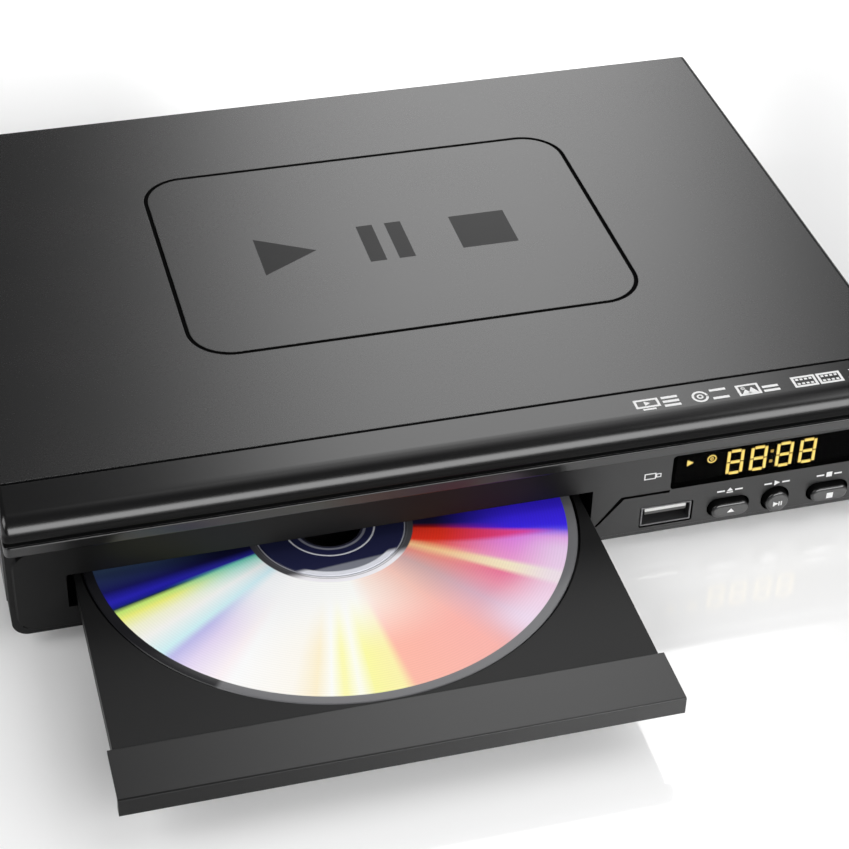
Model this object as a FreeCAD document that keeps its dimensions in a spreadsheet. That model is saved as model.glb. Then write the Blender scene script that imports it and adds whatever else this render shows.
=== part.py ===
import FreeCAD, Part
import Sketcher
import math
import os
import re

# Compact disc player with a motor-driven tray, shown with the tray part way out.
# Driving sizes in millimetres.
# x counts from the case's left end, y from its front face and z from its underside.
sizes = {
    # disc, tray and tray door
    "disc_radius": 60,
    "disc_gauge": 1.2,
    "disc_hole": 7.5,
    "disc_top": 12.4,
    "disc_room": 0.6,
    "disc_seat": 0.1,
    "tray_out": 68.1,
    "tray_more": 58,
    "tray_rim": 1.5,
    "tray_tail": 23.2,
    "tray_floor": 8.2,
    "tray_top": 12.8,
    "tray_corner": 1.2,
    "slot_half": 17.5,
    "door_overhang": 1.2,
    "door_floor": 8.35,
    "door_top": 13.2,
    "door_plate": 2.2,
    "door_flange": 14.9,
    "door_seat": 0.1,
    "door_round": 0.4,
    "flange_skin": 1.0,
    "flange_gap": 0.6,
    # sheet steel case
    "mouth_margin": 13.5,
    "control_width": 84.3,
    "rear_room": 7,
    "case_height": 36,
    "sheet_gauge": 0.8,
    "sheet_gap": 0.2,
    "cover_bend": 1.6,
    "seam_gap": 0.9,
    "rear_lip": 1.0,
    "flange_height": 10,
    "foot_height": 4,
    "foot_radius": 8,
    "foot_taper": 1,
    "foot_inset": 20,
    "case_screw_inset": 14,
    "rear_screw_inset": 12,
    "rear_screw_drop": 6,
    "frame_line_width": 118.2,
    "frame_line_length": 82.5,
    "frame_line_setback": 50.1,
    "frame_line_radius": 11,
    "frame_line_stroke": 1.1,
    "frame_line_depth": 0.35,
    "vent_count": 9,
    "vent_pitch": 5,
    "vent_width": 1.8,
    "vent_height": 12,
    "vent_setback": 100,
    "vent_rise": 14,
    "rear_vent_count": 10,
    "rear_vent_left": 20,
    "floor_vent_setback": 20,
    "floor_vent_length": 22,
    # moulded front panel
    "panel_depth": 12.3,
    "panel_wall": 2.2,
    "brow_reach": 2.0,
    "brow_radius": 6,
    "brow_land": 0.1,
    "strip_line": 1.5,
    "strip_line_depth": 0.6,
    "strip_share": 0.3,
    "strip_soft": 0.4,
    "panel_corner": 4,
    "plate_step": 0.7,
    "plate_bevel": 0.49,
    "plate_inset": 1.2,
    "plate_drop": 0.9,
    "plate_radius": 5,
    "mouth_gap": 0.8,
    "mouth_floor": 7.1,
    "mouth_top": 17,
    "throat_depth": 6.5,
    "throat_top": 13.8,
    "lip_wall": 2.0,
    "groove_width": 0.8,
    "groove_depth": 0.5,
    "groove_gap": 1,
    "groove_foot": 5.3,
    "groove_rise": 7.5,
    "groove_run": 6.5,
    # display
    "window_inset": 7.1,
    "window_width": 57,
    "window_lift": 4.5,
    "window_drop": 1.2,
    "window_height": 10.5,
    "window_corner": 1,
    "window_gap": 0.15,
    "window_sink": 0.05,
    "window_gauge": 0.7,
    "window_wall": 0.6,
    "rim_width": 1.5,
    "rim_gauge": 1.0,
    "rim_gap": 0.1,
    "module_gap": 0.4,
    "module_left": 1.5,
    "module_right": 8,
    "module_inset": 1.0,
    "digit_start": 14.8,
    "digit_width": 4.4,
    "digit_height": 7.7,
    "digit_drop": 0.4,
    "digit_pitch": 6.2,
    "digit_stroke": 0.8,
    "digit_skin": 0.2,
    "stroke_gap": 0.15,
    "stroke_end": 0.4,
    "stroke_middle": 0.2,
    "colon_space": 0.7,
    "colon_rise": 1.6,
    "eye_width": 5,
    "eye_height": 6,
    "eye_depth": 5,
    "eye_inset": 2,
    # front board, buttons and memory stick socket
    "board_gauge": 1.6,
    "front_board_setback": 10,
    "front_board_gap": 1.8,
    "front_board_width": 72,
    "front_board_lift": 0.4,
    "front_board_height": 23,
    "button_height": 5.4,
    "pill_width": 11.3,
    "pill_height": 5.6,
    "round_radius": 3.8,
    "open_inset": 47.9,
    "play_inset": 35.3,
    "stop_inset": 21.2,
    "power_inset": 8.8,
    "button_gap": 0.65,
    "button_proud": 2,
    "button_round": 0.9,
    "button_stem": 2,
    "button_travel": 0.6,
    "stop_reach": 1.0,
    "stop_gap": 0.3,
    "stop_gauge": 0.8,
    "stop_clear": 0.4,
    "switch_size": 5.2,
    "switch_height": 3.4,
    "switch_gap": 0.2,
    "plunger_radius": 1.5,
    "port_inset": 64.4,
    "port_height": 5.9,
    "port_width": 13.2,
    "port_tall": 5.8,
    "port_skin": 0.4,
    "port_gap": 0.4,
    "port_corner": 0.6,
    "port_sink": 0.2,
    "port_backing": 1,
    "port_tongue_inset": 1.2,
    "port_tongue_sink": 0.8,
    "port_tongue_lift": 0.2,
    "port_tongue_gauge": 1.8,
    # tray drive
    "gear_module": 0.8,
    "tip_share": 0.8,
    "root_share": 1.1,
    "pinion_teeth": 12,
    "wheel_teeth": 36,
    "drive_teeth": 11,
    "tooth_base": 0.285,
    "tooth_crest": 0.095,
    "rack_base": 0.3,
    "rack_crest": 0.1,
    "rack_back": 2.0,
    "channel_top": 10.4,
    "channel_gap": 1,
    "gear_inset": 12.1,
    "gear_setback": 24,
    "gear_floor": 4.5,
    "gear_face": 2.2,
    "mesh_face": 1.7,
    "mesh_gap": 0.3,
    "face_over": 0.1,
    "axle_radius": 1.5,
    "axle_gap": 0.06,
    "axle_spare": 2,
    "shoulder_radius": 3,
    "shoulder_gap": 0.2,
    "belt_level": 15.4,
    "belt_gauge": 0.8,
    "belt_width": 1.7,
    "belt_gap": 0.05,
    "drive_pulley_radius": 5.6,
    "motor_pulley_radius": 2.2,
    "pulley_face": 2.6,
    "pulley_flange": 0.8,
    "pulley_rim": 1.0,
    "pulley_gap": 0.3,
    "motor_radius": 7,
    "motor_height": 11,
    "motor_floor": 2,
    "motor_shaft": 1.0,
    "shaft_end_gap": 0.5,
    "motor_aside": 9,
    "motor_back": 18,
    # loader chassis
    "rail_gap": 0.4,
    "rail_wall": 3.5,
    "rail_top": 14.5,
    "rail_setback": 4.4,
    "gear_room": 2,
    "ledge_reach": 3.0,
    "ledge_gauge": 2.0,
    "ledge_gap": 0.3,
    "lid_reach": 1.8,
    "beam_width": 3.2,
    "beam_height": 3.2,
    "drive_plate": 0.8,
    "drive_plate_side": 8,
    "drive_plate_front": 5,
    "bridge_gauge": 1.5,
    "bridge_rise": 3.0,
    "bridge_width": 32,
    "bridge_hole": 11,
    "puck_rise": 1.8,
    "puck_radius": 14,
    "puck_gap": 0.3,
    "puck_play": 1.2,
    "puck_recess": 0.8,
    "puck_cap": 1.2,
    # lifting deck
    "deck_width": 64,
    "deck_lead": 18.2,
    "deck_end_gap": 0.8,
    "deck_gauge": 0.8,
    "deck_gap": 0.3,
    "lift_gap": 0.2,
    "post_radius": 1.5,
    "post_room": 0.5,
    "post_spare": 0.5,
    "post_inset": 5,
    "grommet_radius": 3.4,
    "grommet_height": 0.8,
    "spindle_radius": 11,
    "spindle_height": 2.2,
    "table_gap": 0.2,
    "table_radius": 13,
    "table_gauge": 1.5,
    "cone_radius": 7.3,
    "cone_crown": 5.1,
    "cone_step": 0.8,
    "cone_height": 2.0,
    "rod_radius": 1.0,
    "rod_level": 3.4,
    "rod_left": 12.5,
    "rod_right": 9.5,
    "rod_gap": 0.8,
    "ear_gauge": 2,
    "ear_wall": 0.7,
    "beam_slot_left": 8.5,
    "beam_slot_right": 6.5,
    "beam_slot_front": 2,
    "beam_slot_back": 6,
    "screw_radius": 0.9,
    "screw_level": 4.2,
    "screw_place": 14.2,
    "screw_end": 0.5,
    "screw_motor_gap": 0.2,
    "slide_gap": 0.08,
    "pickup_start": 1.2,
    "pickup_length": 16,
    "pickup_height": 2.6,
    "pickup_gap": 0.2,
    "sled_wall": 1,
    "nut_setback": 4,
    "nut_length": 6,
    "nut_wall": 1,
    "nut_roof": 0.6,
    "lens_radius": 3.2,
    "lens_height": 0.5,
    "stepper_radius": 2.2,
    "stepper_length": 9,
    "stepper_end_gap": 0.9,
    # boards and the parts on them
    "board_lift": 6,
    "standoff_radius": 3,
    "screw_head_radius": 2.6,
    "screw_head_height": 1.4,
    "board_inset": 5,
    "board_back_inset": 20,
    "board_apart": 2,
    "power_side_gap": 4,
    "power_width": 56,
    "power_front_gap": 6.8,
    "power_length": 68,
    "main_side_gap": 28,
    "main_width": 52,
    "main_back_gap": 3.2,
    "main_length": 66,
    "part_gap": 4,
    "sink_setback": 10,
    "sink_length": 32,
    "sink_plate": 2,
    "sink_height": 20,
    "fin_count": 5,
    "fin_pitch": 7,
    "fin_gauge": 1.5,
    "fin_reach": 4,
    "core_setback": 26,
    "core_width": 22,
    "core_length": 22,
    "core_height": 18,
    "core_wall": 3,
    "winding_overhang": 4,
    "bobbin_foot": 2,
    "can_radius": 8,
    "can_height": 20,
    "can_gap": 1,
    "small_can_radius": 4,
    "small_can_height": 12,
    "small_can_start": 16,
    "small_can_pitch": 10,
    "fuse_radius": 2.5,
    "fuse_length": 20,
    "fuse_setback": 7,
    "fuse_inset": 12,
    "chip_width": 20,
    "chip_height": 1.6,
    "chip_left": 14,
    "chip_setback": 16,
    "tiny_can_radius": 3.2,
    "tiny_can_height": 9,
    "tiny_can_inset": 10,
    "tiny_can_setback": 14,
    "tiny_can_pitch": 10,
    "header_height": 6,
    "header_width": 12,
    "header_depth": 5,
    "header_left": 12,
    "header_pitch": 16,
    "header_setback": 2,
    "lead_header_width": 16,
    "lead_header_depth": 7,
    "lead_header_height": 8,
    "lead_header_inset": 2,
    "ribbon_level": 21.4,
    "ribbon_gauge": 0.6,
    "ribbon_width": 10,
    "ribbon_fall": 11,
    "lead_radius": 1.1,
    "lead_run": 18,
    "lead_bend": 60,
    "lead_drop": 4,
    # rear sockets
    "hdmi_width": 15,
    "hdmi_tall": 6,
    "hdmi_depth": 12,
    "hdmi_proud": 1,
    "hdmi_backing": 2,
    "hdmi_tongue_inset": 2,
    "hdmi_tongue_sink": 0.5,
    "hdmi_tongue_drop": 0.2,
    "hdmi_tongue_gauge": 1.4,
    "socket_skin": 0.5,
    "socket_gap": 0.8,
    "jack_pitch": 13,
    "jack_level": 15.6,
    "jack_radius": 4.15,
    "jack_neck": 3.85,
    "jack_bore": 3.2,
    "jack_root": 4,
    "jack_reach": 9,
    "jack_block_height": 14,
    "jack_block_depth": 12,
    "core_sink": 1.5,
    "core_hole": 1.6,
    "inlet_inset": 13.7,
    "inlet_level": 13.5,
    "inlet_width": 20,
    "inlet_tall": 12.5,
    "inlet_depth": 16,
    "inlet_rim": 1.2,
    "inlet_waist": 0.6,
    "inlet_recess_radius": 4.0,
    "inlet_recess_depth": 11,
    "pin_pitch": 8.6,
    "pin_radius": 1.2,
    "pin_tail": 3,
    "pin_sink": 2,
}

# Places worked out from the sizes.
places = {
    "tray_width": "2 * (disc_radius + disc_room + tray_rim)",
    "door_width": "tray_width + 2 * door_overhang",
    "mouth_width": "door_width + 2 * mouth_gap",
    "case_width": "mouth_margin + mouth_width + control_width",
    "disc_setback": "door_flange + door_seat + flange_gap + disc_room + disc_radius",
    "tray_length": "disc_setback + disc_radius + disc_room + tray_tail",
    "cover_front": "panel_depth + seam_gap",
    "power_front": "cover_front + power_front_gap",
    "power_back": "power_front + power_length",
    "board_run": "power_back + board_apart + main_length + main_back_gap",
    "case_depth": "max(tray_length + rear_room; board_run + sheet_gauge + rear_lip)",
    "cover_under": "case_height - sheet_gauge",
    "pan_edge": "sheet_gauge + sheet_gap",
    "pan_right": "case_width - pan_edge",
    "rear_face": "case_depth - rear_lip",
    "rear_inside": "rear_face - sheet_gauge",
    "window_floor": "button_height + round_radius + window_lift",
    "window_top": "window_floor + window_height",
    "window_middle": "window_top - window_height / 2",
    "plate_top": "window_top + window_drop",
    "brow_under": "plate_top + plate_drop",
    "strip_line_floor": "brow_under + (case_height - brow_under) * strip_share",
    "strip_edge": "min(strip_soft; (strip_line_floor - brow_under) / 3)",
    "strip_line_top": "strip_line_floor + strip_line",
    "brow_round": "min(brow_radius; case_height - strip_line_floor - brow_land)",
    "mouth_left": "mouth_margin",
    "mouth_right": "mouth_margin + mouth_width",
    "groove_start": "mouth_right + groove_gap",
    "groove_knee": "groove_foot + groove_rise",
    "loader_center": "mouth_margin + mouth_width / 2",
    "tray_left": "loader_center - tray_width / 2",
    "tray_right": "loader_center + tray_width / 2",
    "door_left": "loader_center - door_width / 2",
    "door_right": "loader_center + door_width / 2",
    "door_front": "-tray_out",
    "flange_back": "door_front + door_flange",
    "tray_front": "door_front + door_plate + door_seat",
    "tray_back": "door_front + tray_length",
    "disc_place": "door_front + disc_setback",
    "disc_under": "disc_top - disc_gauge",
    "spindle_place": "disc_setback",
    "pinion_radius": "gear_module * pinion_teeth / 2",
    "wheel_radius": "gear_module * wheel_teeth / 2",
    "drive_radius": "gear_module * drive_teeth / 2",
    "gear_place": "tray_right - gear_inset",
    "drive_place": "gear_place + wheel_radius + drive_radius",
    "tooth_pitch": "pi * gear_module",
    "tooth_tip": "tip_share * gear_module",
    "tooth_root": "root_share * gear_module",
    "rack_line": "gear_place + pinion_radius",
    "rack_foot": "rack_line + tooth_root",
    "rack_edge": "rack_foot + rack_back",
    "rack_lead": "ceil(tray_out / tooth_pitch) + 1",
    "rack_teeth": "rack_lead + ceil(tray_more / tooth_pitch) + 1",
    "rack_start": "gear_setback - rack_lead * tooth_pitch",
    "rack_end": "rack_start + rack_teeth * tooth_pitch",
    "channel_left": "gear_place - pinion_radius - tooth_tip - channel_gap",
    "channel_front": "gear_setback - tray_out - pinion_radius - tooth_tip - channel_gap",
    "mesh_top": "channel_top - mesh_gap",
    "mesh_floor": "mesh_top - mesh_face",
    "gear_top": "gear_floor + gear_face",
    "belt_floor": "belt_level - pulley_face / 2",
    "belt_top": "belt_level + pulley_face / 2",
    "drive_motor_place": "drive_place + motor_aside",
    "drive_motor_setback": "gear_setback + motor_back",
    "rail_front": "panel_depth + rail_setback",
    "rail_right_front": "gear_setback + wheel_radius + tooth_tip + gear_room",
    "rail_inner_left": "tray_left - rail_gap",
    "rail_inner_right": "tray_right + rail_gap",
    "rail_outer_left": "rail_inner_left - rail_wall",
    "rail_outer_right": "rail_inner_right + rail_wall",
    "rail_back": "tray_length + rail_gap",
    "beam_back": "rail_back + beam_width",
    "ledge_top": "tray_floor - ledge_gap",
    "lid_floor": "tray_top + ledge_gap",
    "drive_floor": "sheet_gauge + drive_plate",
    "drive_edge": "drive_motor_place + motor_radius",
    "bridge_floor": "rail_top + bridge_rise",
    "bridge_top": "bridge_floor + bridge_gauge",
    "puck_floor": "disc_top + puck_rise",
    "puck_shoulder": "bridge_floor - puck_play",
    "puck_brim": "bridge_top + puck_gap",
    "deck_front": "spindle_place - deck_lead",
    "deck_back": "rail_back - deck_end_gap",
    "deck_floor": "sheet_gauge + deck_gap",
    "deck_top": "deck_floor + deck_gauge",
    "deck_left": "loader_center - deck_width / 2",
    "deck_right": "loader_center + deck_width / 2",
    "table_floor": "deck_top + spindle_height + table_gap",
    "table_top": "table_floor + table_gauge",
    "deck_lift": "disc_under - table_top - lift_gap",
    "post_top": "deck_top + deck_lift + post_spare",
    "rod_front": "spindle_place + table_radius + rod_gap",
    "rod_back": "deck_back - stepper_end_gap - stepper_length - screw_end - screw_motor_gap",
    "ear_room": "rod_radius + ear_wall",
    "pickup_front": "rod_front + ear_gauge + pickup_start",
    "pickup_floor": "deck_top + pickup_gap",
    "pickup_top": "pickup_floor + pickup_height",
    "board_top": "board_lift + board_gauge",
    "power_left": "case_width - power_side_gap - power_width",
    "power_right": "power_left + power_width",
    "main_left": "case_width - main_side_gap - main_width",
    "main_right": "main_left + main_width",
    "main_back": "rear_inside - main_back_gap",
    "main_front": "main_back - main_length",
    "sink_left": "power_left + part_gap",
    "fin_start": "sink_left + sink_plate",
    "core_left": "fin_start + fin_reach + part_gap",
    "core_right": "core_left + core_width",
    "core_front": "power_front + core_setback",
    "core_back": "core_front + core_length",
    "lead_header_back": "power_back - lead_header_inset",
    "header_front": "main_front + header_setback",
    "ribbon_landing": "board_top + header_height",
    "hdmi_place": "main_left + hdmi_width / 2",
    "hdmi_front": "rear_face + hdmi_proud - hdmi_depth",
    "jack_place": "main_left + hdmi_width + socket_gap + 1.5 * jack_pitch",
    "inlet_place": "case_width - inlet_inset",
    "inlet_back": "rear_face + inlet_rim",
    "inlet_mouth": "inlet_back - inlet_recess_depth",
    "pin_start": "inlet_back - inlet_depth - pin_tail",
    "front_board_right": "case_width - panel_wall - front_board_gap",
    "front_board_left": "front_board_right - front_board_width",
    "front_board_floor": "panel_wall + front_board_lift",
    "front_board_back": "front_board_setback + board_gauge",
    "window_right": "case_width - window_inset",
    "window_left": "window_right - window_width",
    "pane_back": "window_sink + window_gauge",
    "module_front": "pane_back + module_gap",
    "digit_left": "window_left + digit_start",
    "digit_middle": "window_middle - digit_drop",
    "digit_floor": "digit_middle - digit_height / 2",
    "digit_top": "digit_middle + digit_height / 2",
    "open_place": "case_width - open_inset",
    "play_place": "case_width - play_inset",
    "stop_place": "case_width - stop_inset",
    "power_place": "case_width - power_inset",
    "stop_front": "panel_wall + stop_gap",
    "stop_back": "stop_front + stop_gauge",
    "button_back": "panel_wall + button_stem",
    "plunger_tip": "button_back + button_travel + switch_gap",
    "port_place": "case_width - port_inset",
}

# Cutting tools run past the faces they open, and joined solids sink into each other a little.
past = "1"
weld = "0.1"
# A corner radius takes this share of the half width, which leaves a short straight end.
full_round = "0.98"

doc = FreeCAD.newDocument("disc_player")
sheet = doc.addObject("Spreadsheet::Sheet", "sizes")
for row, (name, size) in enumerate(sizes.items(), start=1):
    sheet.set(f"A{row}", name)
    sheet.set(f"B{row}", str(size))
    sheet.setAlias(f"B{row}", name)
doc.recompute()

nodes = {}


def formula(text):
    # a size is read from the sheet and a place is spelled out in sizes
    def spell(found):
        name = found.group()
        if name in places:
            return "(" + formula(places[name]) + ")"
        return "sizes." + name if name in sizes else name

    return re.sub(r"[a-z][a-z_0-9]*", spell, str(text))


def number(text):
    return float(sheet.evalExpression(formula(text)))


def bind(item, name, text):
    item.setExpression(name, formula(text))


def to_frame(item, x="0", y="0", z="0"):
    # the model's origin lies on the table under the middle of the case
    bind(item, "Placement.Base.x", f"{x} - case_width / 2")
    bind(item, "Placement.Base.y", f"{y} - case_depth / 2")
    bind(item, "Placement.Base.z", f"{z} + foot_height")


# Solids from primitives

turned = {
    "x": FreeCAD.Rotation(FreeCAD.Vector(0, 1, 0), 90),
    "y": FreeCAD.Rotation(FreeCAD.Vector(1, 0, 0), -90),
    "z": FreeCAD.Rotation(),
}


def block(x, y, z):
    # x, y and z are pairs of a low and a high place
    item = doc.addObject("Part::Box", "block")
    for side, axis, (low, high) in zip(("Length", "Width", "Height"), "xyz", (x, y, z)):
        bind(item, "Placement.Base." + axis, low)
        bind(item, side, f"({high}) - ({low})")
    return item


def rod(x, y, z, radius, length, axis="z"):
    # a round bar whose near end is centred on x, y, z and which runs along the axis
    item = doc.addObject("Part::Cylinder", "rod")
    item.Placement.Rotation = turned[axis]
    for name, place in zip("xyz", (x, y, z)):
        bind(item, "Placement.Base." + name, place)
    bind(item, "Radius", radius)
    bind(item, "Height", length)
    return item


def taper(x, y, z, low_radius, high_radius, height):
    item = doc.addObject("Part::Cone", "taper")
    for name, place in zip("xyz", (x, y, z)):
        bind(item, "Placement.Base." + name, place)
    bind(item, "Radius1", low_radius)
    bind(item, "Radius2", high_radius)
    bind(item, "Height", height)
    return item


def fuse(items):
    if len(items) == 1:
        return items[0]
    item = doc.addObject("Part::MultiFuse", "joined")
    item.Shapes = items
    item.Refine = True
    return item


def cut(base, tools):
    item = doc.addObject("Part::Cut", "cut")
    item.Base = base
    item.Tool = fuse(tools)
    return item


def node(label, items):
    # a named sub-part of one solid or of several alike
    item = doc.addObject("Part::Compound", label)
    item.Label = label
    item.Links = items
    to_frame(item)
    nodes[label] = item
    return item


# Bodies from sketches

def new_body(label, x="0", y="0", z="0"):
    body = doc.addObject("PartDesign::Body", label)
    body.Label = label
    to_frame(body, x, y, z)
    nodes[label] = body
    return body


def origin_part(body, role):
    return next(part for part in body.Origin.OriginFeatures if part.Role == role)


def add_polygon(sketch, points):
    ends = [FreeCAD.Vector(number(u), number(v), 0) for u, v in points]
    first = sketch.GeometryCount
    count = len(points)
    for i in range(count):
        sketch.addGeometry(Part.LineSegment(ends[i], ends[(i + 1) % count]), False)
    for i, (u, v) in enumerate(points):
        following = first + (i + 1) % count
        sketch.addConstraint(Sketcher.Constraint("Coincident", first + i, 2, following, 1))
        for kind, text, value in (("DistanceX", u, ends[i].x), ("DistanceY", v, ends[i].y)):
            index = sketch.addConstraint(Sketcher.Constraint(kind, -1, 1, first + i, 1, value))
            bind(sketch, f"Constraints[{index}]", text)


def add_rounded(sketch, low_u, high_u, low_v, high_v, radius):
    # four arcs about the corner centres, joined by tangent lines
    r = number(radius)
    u0, u1, v0, v1 = (number(text) for text in (low_u, high_u, low_v, high_v))
    corners = [
        (u0 + r, v0 + r, math.pi, f"{low_u} + {radius}", f"{low_v} + {radius}"),
        (u1 - r, v0 + r, 1.5 * math.pi, f"{high_u} - ({radius})", f"{low_v} + {radius}"),
        (u1 - r, v1 - r, 0, f"{high_u} - ({radius})", f"{high_v} - ({radius})"),
        (u0 + r, v1 - r, 0.5 * math.pi, f"{low_u} + {radius}", f"{high_v} - ({radius})"),
    ]
    first = sketch.GeometryCount
    arcs = []
    for u, v, angle, _, _ in corners:
        ring = Part.Circle(FreeCAD.Vector(u, v, 0), FreeCAD.Vector(0, 0, 1), r)
        arcs.append(Part.ArcOfCircle(ring, angle, angle + math.pi / 2))
        sketch.addGeometry(arcs[-1], False)
    for i in range(4):
        sketch.addGeometry(Part.LineSegment(arcs[i].EndPoint, arcs[(i + 1) % 4].StartPoint), False)
    for i, (u, v, _, u_text, v_text) in enumerate(corners):
        arc, line = first + i, first + 4 + i
        sketch.addConstraint(Sketcher.Constraint("Tangent", arc, 2, line, 1))
        sketch.addConstraint(Sketcher.Constraint("Tangent", line, 2, first + (i + 1) % 4, 1))
        for kind, text, value in (("DistanceX", u_text, u), ("DistanceY", v_text, v)):
            index = sketch.addConstraint(Sketcher.Constraint(kind, -1, 1, arc, 3, value))
            bind(sketch, f"Constraints[{index}]", text)
        index = sketch.addConstraint(Sketcher.Constraint("Radius", arc, r))
        bind(sketch, f"Constraints[{index}]", radius)


def add_circle(sketch, u, v, radius):
    center = FreeCAD.Vector(number(u), number(v), 0)
    ring = sketch.addGeometry(Part.Circle(center, FreeCAD.Vector(0, 0, 1), number(radius)), False)
    for kind, text, value in (("DistanceX", u, center.x), ("DistanceY", v, center.y)):
        index = sketch.addConstraint(Sketcher.Constraint(kind, -1, 1, ring, 3, value))
        bind(sketch, f"Constraints[{index}]", text)
    index = sketch.addConstraint(Sketcher.Constraint("Radius", ring, number(radius)))
    bind(sketch, f"Constraints[{index}]", radius)


def sketch_on(body, plane, offset, loops):
    # a loop is a list of points, four sides with a corner radius, or a centre with a radius
    sketch = body.newObject("Sketcher::SketchObject", "outline")
    sketch.AttachmentSupport = [(origin_part(body, plane), "")]
    sketch.MapMode = "FlatFace"
    bind(sketch, "AttachmentOffset.Base.z", offset)
    for loop in loops:
        if isinstance(loop, list):
            add_polygon(sketch, loop)
        elif len(loop) == 5:
            add_rounded(sketch, *loop)
        else:
            add_circle(sketch, *loop)
    doc.recompute()
    return sketch


def pad(body, plane, low, high, loops):
    # adds the outline between two places along the plane's axis
    offset = f"-({high})" if plane == "XZ_Plane" else low
    profile = sketch_on(body, plane, offset, loops)
    feature = body.newObject("PartDesign::Pad", "pad")
    feature.Profile = profile
    bind(feature, "Length", f"({high}) - ({low})")
    doc.recompute()
    return feature


def pocket(body, plane, low, high, loops):
    # cuts the outline away between two places along the plane's axis
    before = body.Shape.Volume
    offset = f"-({low})" if plane == "XZ_Plane" else high
    profile = sketch_on(body, plane, offset, loops)
    feature = body.newObject("PartDesign::Pocket", "pocket")
    feature.Profile = profile
    bind(feature, "Length", f"({high}) - ({low})")
    doc.recompute()
    if body.Shape.Volume >= before:
        raise RuntimeError(f"a pocket of {body.Label} cuts nothing")
    return feature


def revolve(body, points):
    # a turned piece about the body's own z axis, from points of radius and height
    profile = sketch_on(body, "XZ_Plane", "0", [points])
    feature = body.newObject("PartDesign::Revolution", "turning")
    feature.Profile = profile
    feature.ReferenceAxis = (profile, ["V_Axis"])
    feature.Angle = 360
    doc.recompute()
    return feature


def dress(body, kind, size_name, size, chosen):
    # rounds or bevels the edges that the test picks out
    base = body.Tip
    picked = [f"Edge{i}" for i, edge in enumerate(base.Shape.Edges, start=1) if chosen(edge.BoundBox)]
    if not picked:
        raise RuntimeError(f"{body.Label} has no edge to dress")
    feature = body.newObject("PartDesign::" + kind, kind.lower())
    feature.Base = (base, picked)
    bind(feature, size_name, size)
    body.Tip = feature
    doc.recompute()
    return feature


def near(value, text):
    return abs(value - number(text)) < 0.01


def repeat_round(body, feature, count):
    pattern = body.newObject("PartDesign::PolarPattern", "ring")
    pattern.Originals = [feature]
    pattern.Axis = (origin_part(body, "Z_Axis"), [""])
    pattern.Angle = 360
    bind(pattern, "Occurrences", count)
    body.Tip = pattern
    doc.recompute()


def repeat_along(body, feature, role, pitch, count):
    pattern = body.newObject("PartDesign::LinearPattern", "row")
    pattern.Originals = [feature]
    pattern.Direction = (origin_part(body, role), [""])
    pattern.Mode = "Spacing"
    bind(pattern, "Offset", pitch)
    bind(pattern, "Occurrences", count)
    body.Tip = pattern
    doc.recompute()


def along(box, axis):
    # whether an edge is a straight run along the axis
    spans = {"x": box.XLength, "y": box.YLength, "z": box.ZLength}
    others = [span for name, span in spans.items() if name != axis]
    return spans[axis] > 1 and max(others) < 0.01


# Case: sheet steel pan with a rear wall, wrapped by a folded cover

def make_cover():
    cover = new_body("top_cover")
    outer = [("0", "0"), ("0", "case_height"), ("case_width", "case_height"), ("case_width", "0")]
    inner = [
        ("case_width - sheet_gauge", "0"),
        ("case_width - sheet_gauge", "cover_under"),
        ("sheet_gauge", "cover_under"),
        ("sheet_gauge", "0"),
    ]
    pad(cover, "XZ_Plane", "cover_front", "case_depth", [outer + inner])
    dress(cover, "Fillet", "Radius", "cover_bend", lambda box: along(box, "y")
          and near(box.ZMax, "case_height") and any(near(box.XMin, x) for x in ("0", "case_width")))
    half = "frame_line_stroke / 2"
    sides = ("case_width / 2 - frame_line_width / 2", "case_width / 2 + frame_line_width / 2",
             "frame_line_setback", "frame_line_setback + frame_line_length")
    wide = tuple(f"{side} {sign} {half}" for side, sign in zip(sides, "-+-+"))
    slim = tuple(f"{side} {sign} {half}" for side, sign in zip(sides, "+-+-"))
    loops = [wide + (f"frame_line_radius + {half}",), slim + (f"frame_line_radius - {half}",)]
    pocket(cover, "XY_Plane", "case_height - frame_line_depth", "case_height", loops)
    outline = ("vent_setback", "vent_setback + vent_width", "vent_rise", "vent_rise + vent_height",
               f"vent_width / 2 * {full_round}")
    slot = pocket(cover, "YZ_Plane", f"-{past}", f"case_width + {past}", [outline])
    repeat_along(cover, slot, "Y_Axis", "vent_pitch", "vent_count")


board_places = {
    "power": ("power_left", "power_right", "power_front", "power_back"),
    "main": ("main_left", "main_right", "main_front", "main_back"),
}


def board_corners(left, right, front, back):
    for x in (f"{left} + board_inset", f"{right} - board_inset"):
        for y in (f"{front} + board_inset", f"{back} - board_back_inset"):
            yield x, y


def jack_rows():
    return [f"jack_place + ({step}) * jack_pitch" for step in (-1, 0, 1)]


def about(middle, size, room="0"):
    # a pair of places either side of a middle
    return f"{middle} - {size} / 2 - ({room})", f"{middle} + {size} / 2 + {room}"


def inside(pair, skin):
    return f"{pair[0]} + {skin}", f"{pair[1]} - {skin}"


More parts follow.
